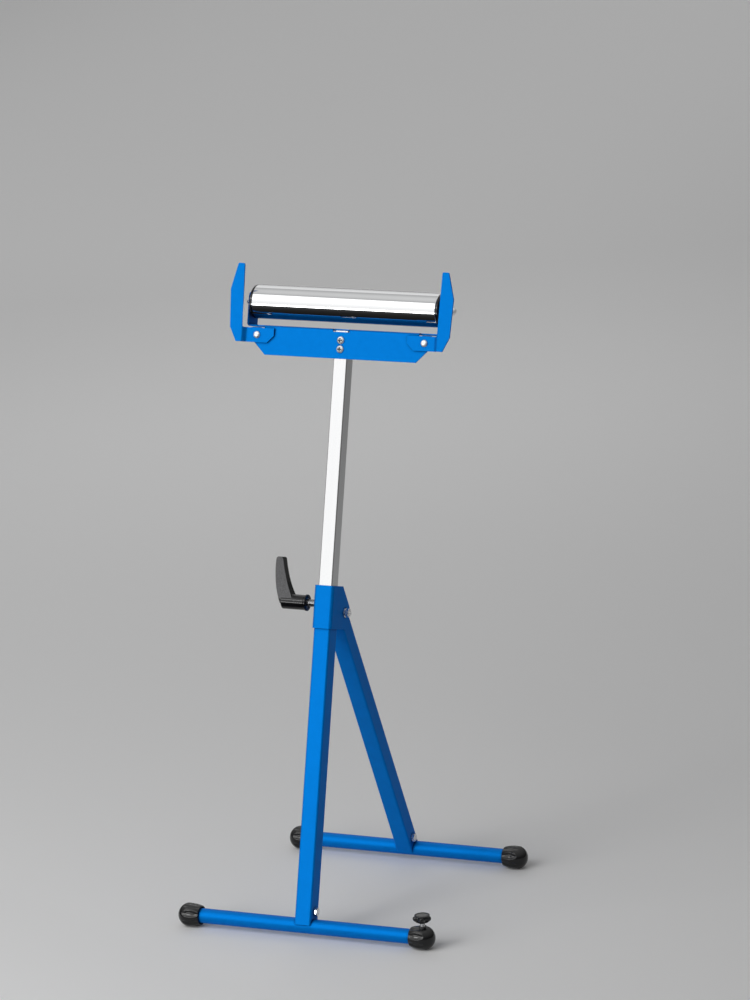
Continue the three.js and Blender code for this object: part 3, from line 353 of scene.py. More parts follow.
def skinned(name, dark, light, rough, grain_size, cloud_size, relief, metallic=0.0, specular=0.5):
    """A material whose colour and gloss drift with the clouds and whose normal follows the grain, with the
    sizes of both in millimetres."""
    material, nodes, links = shader(name)
    share, gloss, height = varied(material, dark, light, rough, relief, 0.0003, metallic)
    nodes["Principled BSDF"].inputs["Specular IOR Level"].default_value = specular
    way = nodes.new("ShaderNodeTexCoord")
    texture = nodes.new("ShaderNodeGroup")
    texture.node_tree = skin
    texture.inputs["Grain"].default_value = 1000 / grain_size
    texture.inputs["Cloud"].default_value = 1000 / cloud_size
    spread = over_noise(nodes, 0, 1)
    links.new(way.outputs["Object"], texture.inputs["Vector"])
    links.new(texture.outputs["Clouds"], spread.inputs["Value"])
    links.new(spread.outputs["Result"], share)
    links.new(texture.outputs["Clouds"], gloss)
    links.new(texture.outputs["Height"], height)
    return material


# The coat has a blue gloss, and painted shade darkens its colour towards a dark blue where two pieces meet
CREASE_SHADE_REACH = 0.006
blue_coat = skinned(
    "blue_powder_coat", (0.0004, 0.158, 0.540), (0.0008, 0.180, 0.600), (0.42, 0.52),
    grain_size=1.1, cloud_size=16, relief=0.16, metallic=0.4, specular=0.14,
)
nodes = blue_coat.node_tree.nodes
links = blue_coat.node_tree.links
surface = nodes["Principled BSDF"]
surface.inputs["Specular Tint"].default_value = (0.05, 0.45, 1.0, 1)
# Painted shade: ambient occlusion within a few millimetres mixes the base colour towards dark blue in creases
# and between parts
crease_shade = nodes.new("ShaderNodeAmbientOcclusion")
crease_shade.samples = 8
crease_shade.inputs["Distance"].default_value = CREASE_SHADE_REACH
crease_shade_depth = nodes.new("ShaderNodeMapRange")
crease_shade_depth.inputs["From Min"].default_value = 0.45
crease_shade_depth.inputs["From Max"].default_value = 0.95
crease_shade_depth.inputs["To Min"].default_value = 0.25
shaded = nodes.new("ShaderNodeMix")
shaded.data_type = "RGBA"
shaded.inputs["A"].default_value = (0.0001, 0.012, 0.09, 1)
plain = surface.inputs["Base Color"].links[0].from_socket
links.new(crease_shade.outputs["AO"], crease_shade_depth.inputs["Value"])
links.new(crease_shade_depth.outputs["Result"], shaded.inputs["Factor"])
links.new(plain, shaded.inputs["B"])
links.new(shaded.outputs["Result"], surface.inputs["Base Color"])

BAR_RADIUS = 12.7
BAR_WALL = 1.5
BAR_PAST_BALL = 9.5
BALL_X = {"front": 216.5, "rear": 205.5}
SPIGOT_HALF = 12.7
SPIGOT_CORNER = 1
SPIGOT_WALL = 2
SPIGOT_LOW = BAR_RADIUS - 3
SPIGOT_TOP = 42
for name, place, lean, body in [
    ("front", front_foot, -LEAN, "frame"),
    ("rear", rear_foot, LEG_LEAN, "leg"),
]:
    end = BALL_X[name] + BAR_PAST_BALL
    bore = BAR_RADIUS - BAR_WALL
    tube = turned([(bore, -end), (BAR_RADIUS, -end), (BAR_RADIUS, end), (bore, end)], 96, closed=True)
    spigot = square_tube(SPIGOT_HALF, SPIGOT_CORNER, SPIGOT_WALL, SPIGOT_LOW, SPIGOT_TOP)
    soften(tube, 0.3)
    soften(spigot, 0.3)
    bar = joined(moved(tube, to_x), moved(spigot, Matrix.Rotation(lean, 4, "X")))
    piece(f"bar_{name}", bar, place, body, [f"{name}_foot_bar"], blue_coat)


# Ball feet.
# Moulded black plastic caps pushed over the bar ends, round like a ball with scooped flutes near the mouth
# and a small flat on the floor. The gloss comes from the polished mould.
black_moulding = skinned(
    "black_gloss_moulding", (0.003, 0.0033, 0.0037), (0.006, 0.0064, 0.007), (0.09, 0.17),
    grain_size=0.9, cloud_size=9, relief=0.03, specular=0.42,
)

BALL = 20.5
MOUTH = 21.5
MOUTH_RADIUS = 16.5
FLUTES = 8
FLUTE_HALF_LENGTH = 15
FLUTE_HALF_WIDTH = 5.6
FLUTE_DEPTH = 2.3
FLUTE_MIDDLE = -7
GAP = 0.3
BORE = BAR_RADIUS + GAP
BORE_END = BAR_PAST_BALL + GAP


def ball_foot():
    """The foot about Z: half a ball above, a longer taper to the mouth below, flutes along the taper."""
    mouth_angle = acos(MOUTH_RADIUS / BALL)
    taper = MOUTH / sin(mouth_angle)
    rows = 44
    profile = [(0, BORE_END), (BORE, BORE_END), (BORE, -MOUTH + 2.6), (BORE + 1.6, -MOUTH + 0.6)]
    profile += [(MOUTH_RADIUS - 1.0, -MOUTH), (MOUTH_RADIUS - 0.3, -MOUTH + 0.15)]
    for row in range(1, rows):
        angle = mouth_angle * (1 - row / rows)
        profile.append((BALL * cos(angle), -taper * sin(angle)))
    for row in range(rows + 1):
        angle = row / rows * pi / 2
        profile.append((BALL * cos(angle), BALL * sin(angle)))
    bm = turned(profile, 192)
    for vert in bm.verts:
        reach = hypot(vert.co.x, vert.co.y)
        if reach < MOUTH_RADIUS - 0.5:
            continue
        around = atan2(vert.co.y, vert.co.x) * FLUTES / (2 * pi)
        aside = (around - floor(around) - 0.5) * 2 * pi / FLUTES * reach
        inside = 1 - ((vert.co.z - FLUTE_MIDDLE) / FLUTE_HALF_LENGTH) ** 2 - (aside / FLUTE_HALF_WIDTH) ** 2
        if inside > 0:
            vert.co.xy *= 1 - FLUTE_DEPTH * min(1.0, 1.35 * inside) ** 0.8 / reach
    return bm


def on_floor(bm):
    """The foot turned to lie along X, with the flat it stands on."""
    for vert in bm.verts:
        vert.co.z = max(vert.co.z, -FOOT_HEIGHT)
    return bm


for row, place, body in [("front", front_foot, "frame"), ("rear", rear_foot, "leg")]:
    for side, x, turn in [("left", -BALL_X[row], to_left), ("right", BALL_X[row], to_x)]:
        name = f"{row}_{side}"
        foot = on_floor(moved(ball_foot(), turn))
        foot_place = place @ at(x, 0, 0)
        piece(f"foot_{name}", foot, foot_place, body, [f"{name}_cap"], black_moulding, 60)


# Levelling screw.
# A zinc plated M8 screw stands through the right front foot in a threaded insert. A star knob moulded on
# its top turns it, so that the stand doesn't rock on an uneven floor.
zinc = skinned(
    "bright_zinc", (0.74, 0.745, 0.75), (0.86, 0.865, 0.87), (0.20, 0.32),
    grain_size=0.7, cloud_size=5, relief=0.06, metallic=1.0,
)
# A dark dull zinc: the levelling insert's own finish, and painted shade inside the screw recesses
zinc_dull_and_recess_shade = skinned(
    "dull_zinc_and_painted_recess_shade", (0.07, 0.07, 0.074), (0.13, 0.13, 0.135), (0.4, 0.55),
    grain_size=0.7, cloud_size=5, relief=0.1, metallic=1.0,
)

M8_RADIUS = 4
PITCH_M8 = 1.25
INSERT_RADIUS = 6.5
INSERT_LOW, INSERT_HIGH = 13, 21
KNOB_LOW = 27.5
KNOB_HIGH = 38.5
LOBES = 5


def threaded(radius, pitch, low, high, tip=0.8, steps=40):
    """A screwed rod about Z with a cut helical thread, chamfered at its upper end."""
    rows = max(4, int((high - low) / pitch * 8))
    profile = [(0, low)]
    profile += [(radius, low + (high - low) * row / rows) for row in range(rows + 1)]
    profile.append((0, high))
    bm = turned(profile, steps)
    depth = 0.55 * pitch
    for vert in bm.verts:
        around = hypot(vert.co.x, vert.co.y)
        if around < radius - 0.01:
            continue
        turns = vert.co.z / pitch - atan2(vert.co.y, vert.co.x) / (2 * pi)
        flank = abs(2 * (turns - floor(turns)) - 1)
        cut = depth * min(1.0, max(0.0, 1.25 * flank - 0.15))
        end = max(0.0, tip - (high - vert.co.z))
        vert.co.xy *= (radius - max(cut, end)) / around
    return bm


def ring(bore, radius, low, high, edge):
    """A plain ring about Z with its edges broken."""
    return soften(turned([(bore, low), (radius, low), (radius, high), (bore, high)], 48, closed=True), edge)


def star_knob():
    """A lobed grip, narrow below, with a dished round crown."""
    middle, swing = 13.5, 2.5
    widest = middle + swing
    crown = 13
    top = KNOB_HIGH + 2
    profile = [
        (0, KNOB_LOW), (9.0, KNOB_LOW), (10.2, KNOB_LOW + 0.4), (11.2, KNOB_LOW + 1.4),
        (widest - 2, KNOB_LOW + 3.4), (widest - 0.6, KNOB_LOW + 4.8), (widest, KNOB_LOW + 6.2),
        (widest, KNOB_HIGH - 2.6),
        (widest - 0.5, KNOB_HIGH - 1.2), (widest - 1.6, KNOB_HIGH - 0.3), (crown, KNOB_HIGH + 0.2),
        (crown, top - 0.8), (crown - 0.3, top - 0.25), (crown - 1, top), (crown - 1.8, top - 0.15),
        (crown - 2.6, top - 0.9), (crown - 3.6, top - 1.15), (5, top - 1.2), (0, top - 1.2),
    ]
    bm = turned(profile, 120)
    for vert in bm.verts:
        around = hypot(vert.co.x, vert.co.y)
        if vert.co.z > KNOB_HIGH:
            continue
        lobe = (middle + swing * cos(LOBES * atan2(vert.co.y, vert.co.x))) / widest
        share = min(1.0, max(0.0, (around - 8) / 4))
        vert.co.xy *= 1 + share * (lobe - 1)
    return bm


level_axis = front_foot @ at(BALL_X["front"], 0, 0)
piece(
    "levelling_spindle_zinc", threaded(M8_RADIUS, PITCH_M8, -FOOT_HEIGHT + GAP, KNOB_LOW + 4.6),
    level_axis, "levelling_spindle", ["levelling_screw"], zinc, 30,
)
insert = ring(M8_RADIUS + GAP, INSERT_RADIUS, INSERT_LOW, INSERT_HIGH, 0.4)
piece("levelling_bush", insert, level_axis, "frame", ["levelling_insert"], zinc_dull_and_recess_shade)
piece(
    "levelling_star", star_knob(), level_axis, "levelling_grip", ["levelling_knob"],
    black_moulding,
)


# Outer post.
# Square steel tube, coped over the front bar and bolted through the spigot inside it. The inner post slides
# in its open top.
TUBE_HALF = 15
TUBE_CORNER = 3
TUBE_WALL = 2
SADDLE_SKIRT = 2
SADDLE = 13
POST_TOP = 571.5
post_tube = square_tube(TUBE_HALF, TUBE_CORNER, TUBE_WALL, SADDLE_SKIRT, POST_TOP, SADDLE)
soften(post_tube, 0.35, sharper=50)
piece("post_outer", post_tube, up_post, "frame", ["outer_post"], blue_coat)


# Foot bolts.
# A zinc plated hex bolt through the right wall of the post and of its spigot, and one through the leg's. Each
# runs into a nut welded inside the spigot.
HEX_STEPS = 60

# Shares of the width across flats: the turned blank that the flats are milled on, and its end face
HEX_BLANK = 0.55
HEX_FACE = 0.48


def hexed(bm, across, low, high):
    """Mill the widest part of a turned blank to six flats, with the chamfer that a turned face leaves."""
    flat = across / 2
    for vert in bm.verts:
        around = hypot(vert.co.x, vert.co.y)
        if around < flat * 1.02:
            continue
        angle = atan2(vert.co.y, vert.co.x) % (pi / 3)
        corner = flat / cos(angle - pi / 6)
        drop = (corner - 0.96 * flat) * tan(radians(30))
        vert.co.xy *= corner / around
        vert.co.z = high - drop if vert.co.z > (low + high) / 2 else low + drop
    return bm


def hex_head(across, height):
    """A bolt head about Z under z = 0."""
    wide, face = across * HEX_BLANK, across * HEX_FACE
    profile = [(0, -height), (face, -height), (wide, -height), (wide, 0), (face, 0), (0, 0)]
    return hexed(turned(profile, HEX_STEPS), across, -height, 0)


def hex_nut(across, height, bore):
    wide, face = across * HEX_BLANK, across * HEX_FACE
    profile = [(bore, 0), (face, 0), (wide, 0), (wide, height), (face, height)]
    profile += [(bore + 0.6, height), (bore, height - 0.6)]
    return hexed(turned(profile, HEX_STEPS, closed=True), across, 0, height)


def hex_bolt(across, height, radius, pitch, length):
    shank = turned([(0, -0.5), (radius, -0.5), (radius, length / 2), (0, length / 2)], 40)
    return joined(hex_head(across, height), shank, threaded(radius, pitch, length / 2 - 0.2, length))


M8_ACROSS, M8_HEAD, M8_NUT = 13, 5.3, 6.5
THREAD_PROUD = 2
FOOT_BOLT_RISE = 25
for name, place, body in [("post", up_post, "frame"), ("leg", up_leg, "leg")]:
    seat = TUBE_HALF + GAP
    nut_face = SPIGOT_HALF - SPIGOT_WALL - GAP
    bolt = hex_bolt(M8_ACROSS, M8_HEAD, M8_RADIUS, PITCH_M8, seat - nut_face + M8_NUT + THREAD_PROUD)
    bolt_place = place @ at(seat, 0, FOOT_BOLT_RISE) @ to_left
    piece(f"{name}_foot_bolt", bolt, bolt_place, body, [f"{name}_bolt"], zinc, 25)
    nut_place = place @ at(nut_face, 0, FOOT_BOLT_RISE) @ to_left
    nut = hex_nut(M8_ACROSS, M8_NUT, M8_RADIUS + GAP)
    piece(f"{name}_foot_nut", nut, nut_place, body, [f"{name}_nut"], zinc, 25)


# Yoke.
# Steel sheet folded round the front and sides of the post and welded to it. Its ears reach back to the
# pivot bolt, and their rear edges follow the leg.
YOKE_SHEET = 2.5
YOKE_LOW = 500
YOKE_HIGH = 572.5
EAR_MARGIN = 20
TOE_BACK = 42.5
TOE_ROUND = 7
LEG_SPREAD = LEAN + LEG_LEAN


def blank(points):
    """A flat sheet in the XY plane with this outline."""
    bm = bmesh.new()
    bm.faces.new([bm.verts.new((x, y, 0)) for x, y in points])
    return bm


def scored(bm, axis, places):
    """Cut bend lines across a blank, so that it can follow a curve."""
    way = Vector((1, 0, 0)) if axis == "X" else Vector((0, 1, 0))
    for place in places:
        geometry = bm.verts[:] + bm.edges[:] + bm.faces[:]
        bmesh.ops.bisect_plane(bm, geom=geometry, plane_co=way * place, plane_no=way, dist=1e-5)
    return bm


def arc(cx, cy, radius, start, end, steps):
    """Points on an arc, angles in degrees."""
    angles = [radians(start + (end - start) * step / steps) for step in range(steps + 1)]
    return [(cx + radius * cos(angle), cy + radius * sin(angle)) for angle in angles]


def spaced(low, high, count):
    return [low + (high - low) * step / count for step in range(count + 1)]


def thick(bm, sheet, edge=0.45):
    """Give a bent blank its thickness behind its front face, and break its edges."""
    bm.normal_update()
    bmesh.ops.recalc_face_normals(bm, faces=bm.faces)
    if sum(face.normal.y * face.calc_area() for face in bm.faces) > 0:
        bmesh.ops.reverse_faces(bm, faces=bm.faces)
    bmesh.ops.solidify(bm, geom=bm.faces[:], thickness=sheet)
    return soften(bm, edge, 2, 50)


yoke_outer = TUBE_HALF + GAP + YOKE_SHEET
yoke_bend = TUBE_CORNER + YOKE_SHEET
web_flat = yoke_outer - yoke_bend
bend_length = yoke_bend * pi / 2
ear_top_back = PIVOT_BACK + EAR_MARGIN * cos(LEG_SPREAD)
ear_top_back -= (YOKE_HIGH - PIVOT_HEIGHT - EAR_MARGIN * sin(LEG_SPREAD)) * tan(LEG_SPREAD)
ear = [(TOE_BACK - 0.5, YOKE_LOW)]
ear += arc(TOE_BACK, YOKE_LOW + TOE_ROUND, TOE_ROUND, -80, -15, 5)
ear += arc(PIVOT_BACK, PIVOT_HEIGHT, EAR_MARGIN, 0, LEG_SPREAD * 180 / pi, 10)
ear += [(ear_top_back, YOKE_HIGH)]
unroll = web_flat + bend_length + web_flat
right_side = [(y + unroll, z) for y, z in ear]
outline = right_side + [(-s, z) for s, z in reversed(right_side)]
yoke = blank(outline)
bends = spaced(web_flat, web_flat + bend_length, 8)
scored(yoke, "X", bends + [-place for place in bends])
for vert in yoke.verts:
    run, height = abs(vert.co.x), vert.co.y
    side = 1 if vert.co.x > 0 else -1
    if run <= web_flat:
        x, y = run, -yoke_outer
    elif run <= web_flat + bend_length:
        angle = (run - web_flat) / yoke_bend
        x, y = web_flat + yoke_bend * sin(angle), -web_flat - yoke_bend * cos(angle)
    else:
        x, y = yoke_outer, run - unroll
    vert.co = (side * x, y, height)
piece("yoke_folded", thick(yoke, YOKE_SHEET), up_post, "frame", ["yoke"], blue_coat)


# Rear leg and its pivot.
# The same square tube as the post, coped over the rear bar. Its top turns on a sleeve between the ears and is
# trimmed so that it bears on the post's back when the stand is open.
LEG_HEAD = 22
leg_tube = square_tube(TUBE_HALF, TUBE_CORNER, TUBE_WALL, SADDLE_SKIRT, LEG_LENGTH + LEG_HEAD, SADDLE)
stop_way = Vector((0, -cos(LEG_SPREAD), sin(LEG_SPREAD)))
stop_point = Vector((0, 0, LEG_LENGTH)) + stop_way * (PIVOT_BACK - TUBE_HALF - GAP)
bmesh.ops.bisect_plane(
    leg_tube, geom=leg_tube.verts[:] + leg_tube.edges[:] + leg_tube.faces[:],
    plane_co=stop_point, plane_no=stop_way, clear_outer=True,
)
trimmed = [e for e in leg_tube.edges if e.is_boundary]
bmesh.ops.holes_fill(leg_tube, edges=trimmed, sides=0)
piece("leg_rear", leg_tube, up_leg, "leg", ["rear_leg"], blue_coat)

pivot = up_post @ at(0, PIVOT_BACK, PIVOT_HEIGHT)
WASHER = 1.6
WASHER_RADIUS = 8
washer_seat = yoke_outer + GAP
for name, x in [("left", -washer_seat - WASHER), ("right", washer_seat)]:
    disc = ring(M8_RADIUS + GAP, WASHER_RADIUS, 0, WASHER, 0.25)
    place = pivot @ at(x, 0, 0) @ to_x
    piece(f"pivot_disc_{name}", disc, place, "frame", [f"pivot_washer_{name}"], zinc)
pivot_seat = washer_seat + WASHER + GAP
bolt = hex_bolt(M8_ACROSS, M8_HEAD, M8_RADIUS, PITCH_M8, 2 * pivot_seat + M8_NUT + THREAD_PROUD)
bolt_place = pivot @ at(-pivot_seat, 0, 0) @ to_x
piece("pivot_hex_bolt", bolt, bolt_place, "frame", ["pivot_bolt"], zinc, 25)
nut = hex_nut(M8_ACROSS, M8_NUT, M8_RADIUS + GAP)
nut_place = pivot @ at(pivot_seat, 0, 0) @ to_x
piece("pivot_hex_nut", nut, nut_place, "frame", ["pivot_nut"], zinc, 25)
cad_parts["pivot_sleeve"].material_slots[0].material = zinc


# Height clamp.
# An indexing lever on the left: a glossy black hub and an arm with textured sides on a toothed steel insert,
# whose stud runs through a nut welded to the post and presses a nylon pad on the inner post.
CLAMP_HEIGHT = 541

# Drawn with Z out to the left and Y up the post
clamp = up_post @ at(0, 0, CLAMP_HEIGHT) @ Matrix((
    (0, 0, -1, 0),
    (-1, 0, 0, 0),
    (0, 1, 0, 0),
    (0, 0, 0, 1),
))
lever_gloss = skinned(
    "black_lever_gloss", (0.003, 0.003, 0.0034), (0.005, 0.005, 0.0056), (0.10, 0.16),
    grain_size=0.9, cloud_size=9, relief=0.03, specular=0.3,
)
black_texture = skinned(
    "black_textured_moulding", (0.014, 0.014, 0.016), (0.085, 0.085, 0.090), (0.36, 0.48),
    grain_size=1.3, cloud_size=1.7, relief=0.6, specular=0.5,
)
black_oxide = skinned(
    "black_oxide_steel", (0.10, 0.102, 0.106), (0.16, 0.162, 0.168), (0.2, 0.3),
    grain_size=0.6, cloud_size=5, relief=0.06, metallic=1.0,
)
nylon = skinned(
    "natural_nylon", (0.70, 0.67, 0.60), (0.78, 0.76, 0.70), (0.45, 0.6),
    grain_size=0.8, cloud_size=6, relief=0.1,
)

M6_RADIUS = 3
STUD_RADIUS = 5
STUD_END = 45.8
WELD_NUT_RADIUS = 7.5
NUT_START, NUT_END = TUBE_HALF + GAP, 21
NECK_RADIUS = 6.25
HUB_START, HUB_END = 35.8, 80.8
HUB_RADIUS = 12.8
RING_RADIUS = 14
RING_WIDTH = 3
BUSH_RADIUS = 8.5
BUSH_END = 55.8
SPRING_END = 68.8
HEAD_SEAT = 76.8
SCREW_HEAD = 6
SCREW_TIP = 47.8
nut = ring(STUD_RADIUS + GAP, WELD_NUT_RADIUS, NUT_START, NUT_END, 0.5)
piece("clamp_weld_nut", nut, clamp, "frame", ["clamp_nut"], blue_coat)
stud_bore = STUD_RADIUS + GAP
screw_bore = M6_RADIUS + GAP
neck = turned([
    (stud_bore, NUT_END + GAP), (NECK_RADIUS, NUT_END + GAP), (NECK_RADIUS, HUB_START + GAP),
    (BUSH_RADIUS, HUB_START + GAP), (BUSH_RADIUS, BUSH_END), (screw_bore, BUSH_END),
    (screw_bore, STUD_END + GAP), (stud_bore, STUD_END + GAP),
], 64, closed=True)
piece("clamp_neck", soften(neck, 0.4), clamp, "clamp", ["clamp_insert"], black_oxide)


def curve(start, lift, pull, end, steps):
    """Points on a cubic curve after its start."""
    points = []
    for step in range(1, steps + 1):
        t = step / steps
        weights = ((1 - t) ** 3, 3 * t * (1 - t) ** 2, 3 * t * t * (1 - t), t ** 3)
        pulled = list(zip(weights, (start, lift, pull, end)))
        points.append(tuple(sum(weight * point[axis] for weight, point in pulled) for axis in (0, 1)))
    return points


def combined(first, second, operation):
    """One shape joined with or cut by another."""
    bodies = []
    for label, bm in [("kept", first), ("tool", second)]:
        mesh = bpy.data.meshes.new(label)
        bm.to_mesh(mesh)
        bm.free()
        bodies.append(bpy.data.objects.new(label, mesh))
        scene.collection.objects.link(bodies[-1])
    kept, tool = bodies
    step = kept.modifiers.new(operation, "BOOLEAN")
    step.operation = operation
    step.solver = "EXACT"
    step.object = tool
    result = bmesh.new()
    result.from_object(kept, bpy.context.evaluated_depsgraph_get())
    for body in bodies:
        mesh = body.data
        bpy.data.objects.remove(body)
        bpy.data.meshes.remove(mesh)
    return result


ARM_HALF = 7.6
ROOT_HALF = 12.2
ROOT_BLEND = 44
ARM_TOP = 74.5
TIP_OUTER, TIP_INNER = 96, 83
TIP_ROUND = 4.3
root = (60.5, -2)
heel = (HUB_END + 1, -3.8)
inner_tip = (TIP_INNER, ARM_TOP - TIP_ROUND)
arm_outline = [root, (60.5, 4), (63, 10.8)]
arm_outline += curve((63, 10.8), (70, 23.8), (TIP_INNER - 6, 0.54 * ARM_TOP), inner_tip, 18)
arm_outline += arc(TIP_INNER + TIP_ROUND, ARM_TOP - TIP_ROUND, TIP_ROUND, 180, 90, 6)[1:]
arm_outline += arc(TIP_OUTER - TIP_ROUND, ARM_TOP - TIP_ROUND, TIP_ROUND, 90, 0, 6)
tip = arm_outline[-1]
arm_outline += curve(tip, (TIP_OUTER + 2, 0.6 * ARM_TOP), (TIP_OUTER - 2, 0.24 * ARM_TOP), heel, 20)
arm = scored(blank(arm_outline), "Y", spaced(4, ROOT_BLEND, 8))
raised = bmesh.ops.extrude_face_region(arm, geom=arm.faces[:])["geom"]
bmesh.ops.translate(arm, verts=[v for v in raised if isinstance(v, bmesh.types.BMVert)], vec=(0, 0, 2))
outward(arm)

# Stood up on the hub, one thick to either side, and then spread to the arm's width
moved(arm, Matrix(((0, 0, -1, 1), (0, 1, 0, 0), (1, 0, 0, 0), (0, 0, 0, 1))))
for vert in arm.verts:
    swell = max(0.0, 1 - max(0.0, vert.co.y) / ROOT_BLEND)
    vert.co.x *= ARM_HALF + (ROOT_HALF - ARM_HALF) * swell ** 1.6
soften(arm, 1.8, 4, 40)
hub = turned([
    (0, HUB_START), (RING_RADIUS, HUB_START), (RING_RADIUS, HUB_START + RING_WIDTH),
    (HUB_RADIUS, HUB_START + RING_WIDTH + 0.6), (HUB_RADIUS, HUB_END), (0, HUB_END),
], 96)
bush_bore = BUSH_RADIUS + GAP
head_bore = SCREW_HEAD + GAP
bores = turned([
    (0, HUB_START - 1), (bush_bore, HUB_START - 1), (bush_bore, SPRING_END), (screw_bore, SPRING_END),
    (screw_bore, HEAD_SEAT), (head_bore, HEAD_SEAT), (head_bore, HUB_END + 20), (0, HUB_END + 20),
], 96)
lever = combined(combined(soften(hub, 0.8, 3), arm, "UNION"), bores, "DIFFERENCE")
lever.normal_update()
for flat in lever.faces:
    middle = flat.calc_center_median()
    on_arm = middle.z > root[0] and 1.5 < middle.y < ARM_TOP - 3
    if on_arm and abs(flat.normal.x) > 0.9 and abs(middle.x) > ARM_HALF - 1:
        flat.material_index = 1
handle = piece("clamp_handle", lever, clamp, "clamp", ["clamp_lever"], lever_gloss, 30)
handle.data.materials.append(black_texture)
screw = turned([
    (0, SCREW_TIP), (M6_RADIUS, SCREW_TIP), (M6_RADIUS, HEAD_SEAT + GAP), (SCREW_HEAD, HEAD_SEAT + GAP),
    (SCREW_HEAD, HUB_END - GAP), (0, HUB_END - GAP),
], 48)
piece("clamp_retainer", soften(screw, 0.4), clamp, "clamp", ["clamp_screw"], zinc)
for name, material in [("clamp_pad", nylon), ("clamp_stud", zinc), ("clamp_spring", zinc)]:
    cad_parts[name].material_slots[0].material = material


# Inner post.
# Zinc plated square tube that slides in the outer post, with faint drawing marks along its length and a
# plastic glide plug in its lower end.
INNER_HALF = 12.5
INNER_CORNER = 2
INNER_WALL = 1.5
INNER_LOW, INNER_HIGH = 432.2, 1000.2
streaks, enter, leave = group(
    "streaks",
    [
        ("Vector", "NodeSocketVector", None),
        ("Fine", "NodeSocketFloat", 1.0),
        ("Broad", "NodeSocketFloat", 0.3),
    ],
    [("Lines", "NodeSocketFloat"), ("Bands", "NodeSocketFloat")],
)
for label, output, detail in [("Fine", "Lines", 3.0), ("Broad", "Bands", 1.0)]:
    noise = streaks.nodes.new("ShaderNodeTexNoise")
    noise.inputs["Detail"].default_value = detail
    streaks.links.new(enter.outputs["Vector"], noise.inputs["Vector"])
    streaks.links.new(enter.outputs[label], noise.inputs["Scale"])
    streaks.links.new(noise.outputs["Fac"], leave.inputs[output])


def drawn(name, dark, light, rough, stretch, turn, fine, broad, relief):
    """A bright metal with marks drawn out along one way. Stretch scales the pattern along X, Y and Z."""
    material, nodes, links = shader(name)
    share, gloss, height = varied(material, dark, light, rough, relief, 0.0001, 1.0)
    way = nodes.new("ShaderNodeTexCoord")
    turner = nodes.new("ShaderNodeMapping")
    turner.inputs["Rotation"].default_value = turn
    stretcher = nodes.new("ShaderNodeMapping")
    stretcher.inputs["Scale"].default_value = stretch
    texture = nodes.new("ShaderNodeGroup")
    texture.node_tree = streaks
    texture.inputs["Fine"].default_value = fine
    texture.inputs["Broad"].default_value = broad
    links.new(way.outputs["Object"], turner.inputs["Vector"])
    links.new(turner.outputs["Vector"], stretcher.inputs["Vector"])
    links.new(stretcher.outputs["Vector"], texture.inputs["Vector"])
    links.new(texture.outputs["Bands"], share)
    links.new(texture.outputs["Lines"], gloss)
    links.new(texture.outputs["Lines"], height)
    return material


zinc_tube = drawn(
    "drawn_zinc_tube", (0.58, 0.583, 0.587), (0.61, 0.612, 0.615), (0.09, 0.13),
    (1, 1, 0.02), (LEAN, 0, 0), fine=900, broad=110, relief=0.04,
)
inner = square_tube(INNER_HALF, INNER_CORNER, INNER_WALL, INNER_LOW, INNER_HIGH)
soften(inner, 0.3, sharper=50)
piece("post_inner", inner, up_post, "head", ["inner_post"], zinc_tube)
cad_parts["inner_post_plug"].material_slots[0].material = black_moulding


# Cradle.
# One blank of steel sheet: the front plate, its top folded back to a flange, and the flange's ends turned up
# as ears for the axle. A notch in the fold shows the top of the inner post behind it.
SHEET = 2.5
CRADLE_LOW, CRADLE_HIGH = 953, 1003
PLATE_FRONT = -15.3
FOLD = 4
FOLD_END = 142.9
RELIEF = 148.9
RELIEF_DEPTH = 5
PLATE_HALF = 165.9
PLATE_CHAMFER = 26
AXLE_RISE = 40
AXLE_BACK = 11.5
EAR_HALF = 18
EAR_ABOVE_AXLE = 15.5
EAR_CORNER = 8
EAR_INNER = 177.9
EAR_BEND = 3
NOTCH_HALF = 15.5
NOTCH_DROP = 5

plate_height = CRADLE_HIGH - CRADLE_LOW - FOLD
fold_length = FOLD * pi / 2
flange_start = plate_height + fold_length
flange_front = PLATE_FRONT + FOLD
strip_low = flange_start + AXLE_BACK - EAR_HALF - flange_front
strip_high = strip_low + 2 * EAR_HALF
ear_start = EAR_INNER - EAR_BEND
ear_length = EAR_BEND * pi / 2
ear_end = ear_start + ear_length + AXLE_RISE - EAR_BEND + EAR_ABOVE_AXLE
half = [
    (PLATE_HALF - PLATE_CHAMFER, 0), (PLATE_HALF, PLATE_CHAMFER), (PLATE_HALF, plate_height),
    (RELIEF, plate_height), (RELIEF, plate_height - RELIEF_DEPTH), (FOLD_END, plate_height - RELIEF_DEPTH),
    (FOLD_END, strip_low),
]
half += arc(ear_end - EAR_CORNER, strip_low + EAR_CORNER, EAR_CORNER, -90, 0, 8)
half += arc(ear_end - EAR_CORNER, strip_high - EAR_CORNER, EAR_CORNER, 0, 90, 8)
cradle = blank(half + [(-u, v) for u, v in reversed(half)])
folds = spaced(plate_height, flange_start, 8)
ear_bends = spaced(ear_start, ear_start + ear_length, 12)
notch_low = CRADLE_HIGH - CRADLE_LOW - NOTCH_DROP
notch_high = flange_start + 1
scored(cradle, "Y", folds + [notch_low, notch_high])
scored(cradle, "X", ear_bends + [-place for place in ear_bends] + [-NOTCH_HALF, NOTCH_HALF])
slot_faces = []
for face in cradle.faces:
    middle = face.calc_center_median()
    if abs(middle.x) < NOTCH_HALF and notch_low < middle.y < notch_high:
        slot_faces.append(face)
bmesh.ops.delete(cradle, geom=slot_faces, context="FACES")
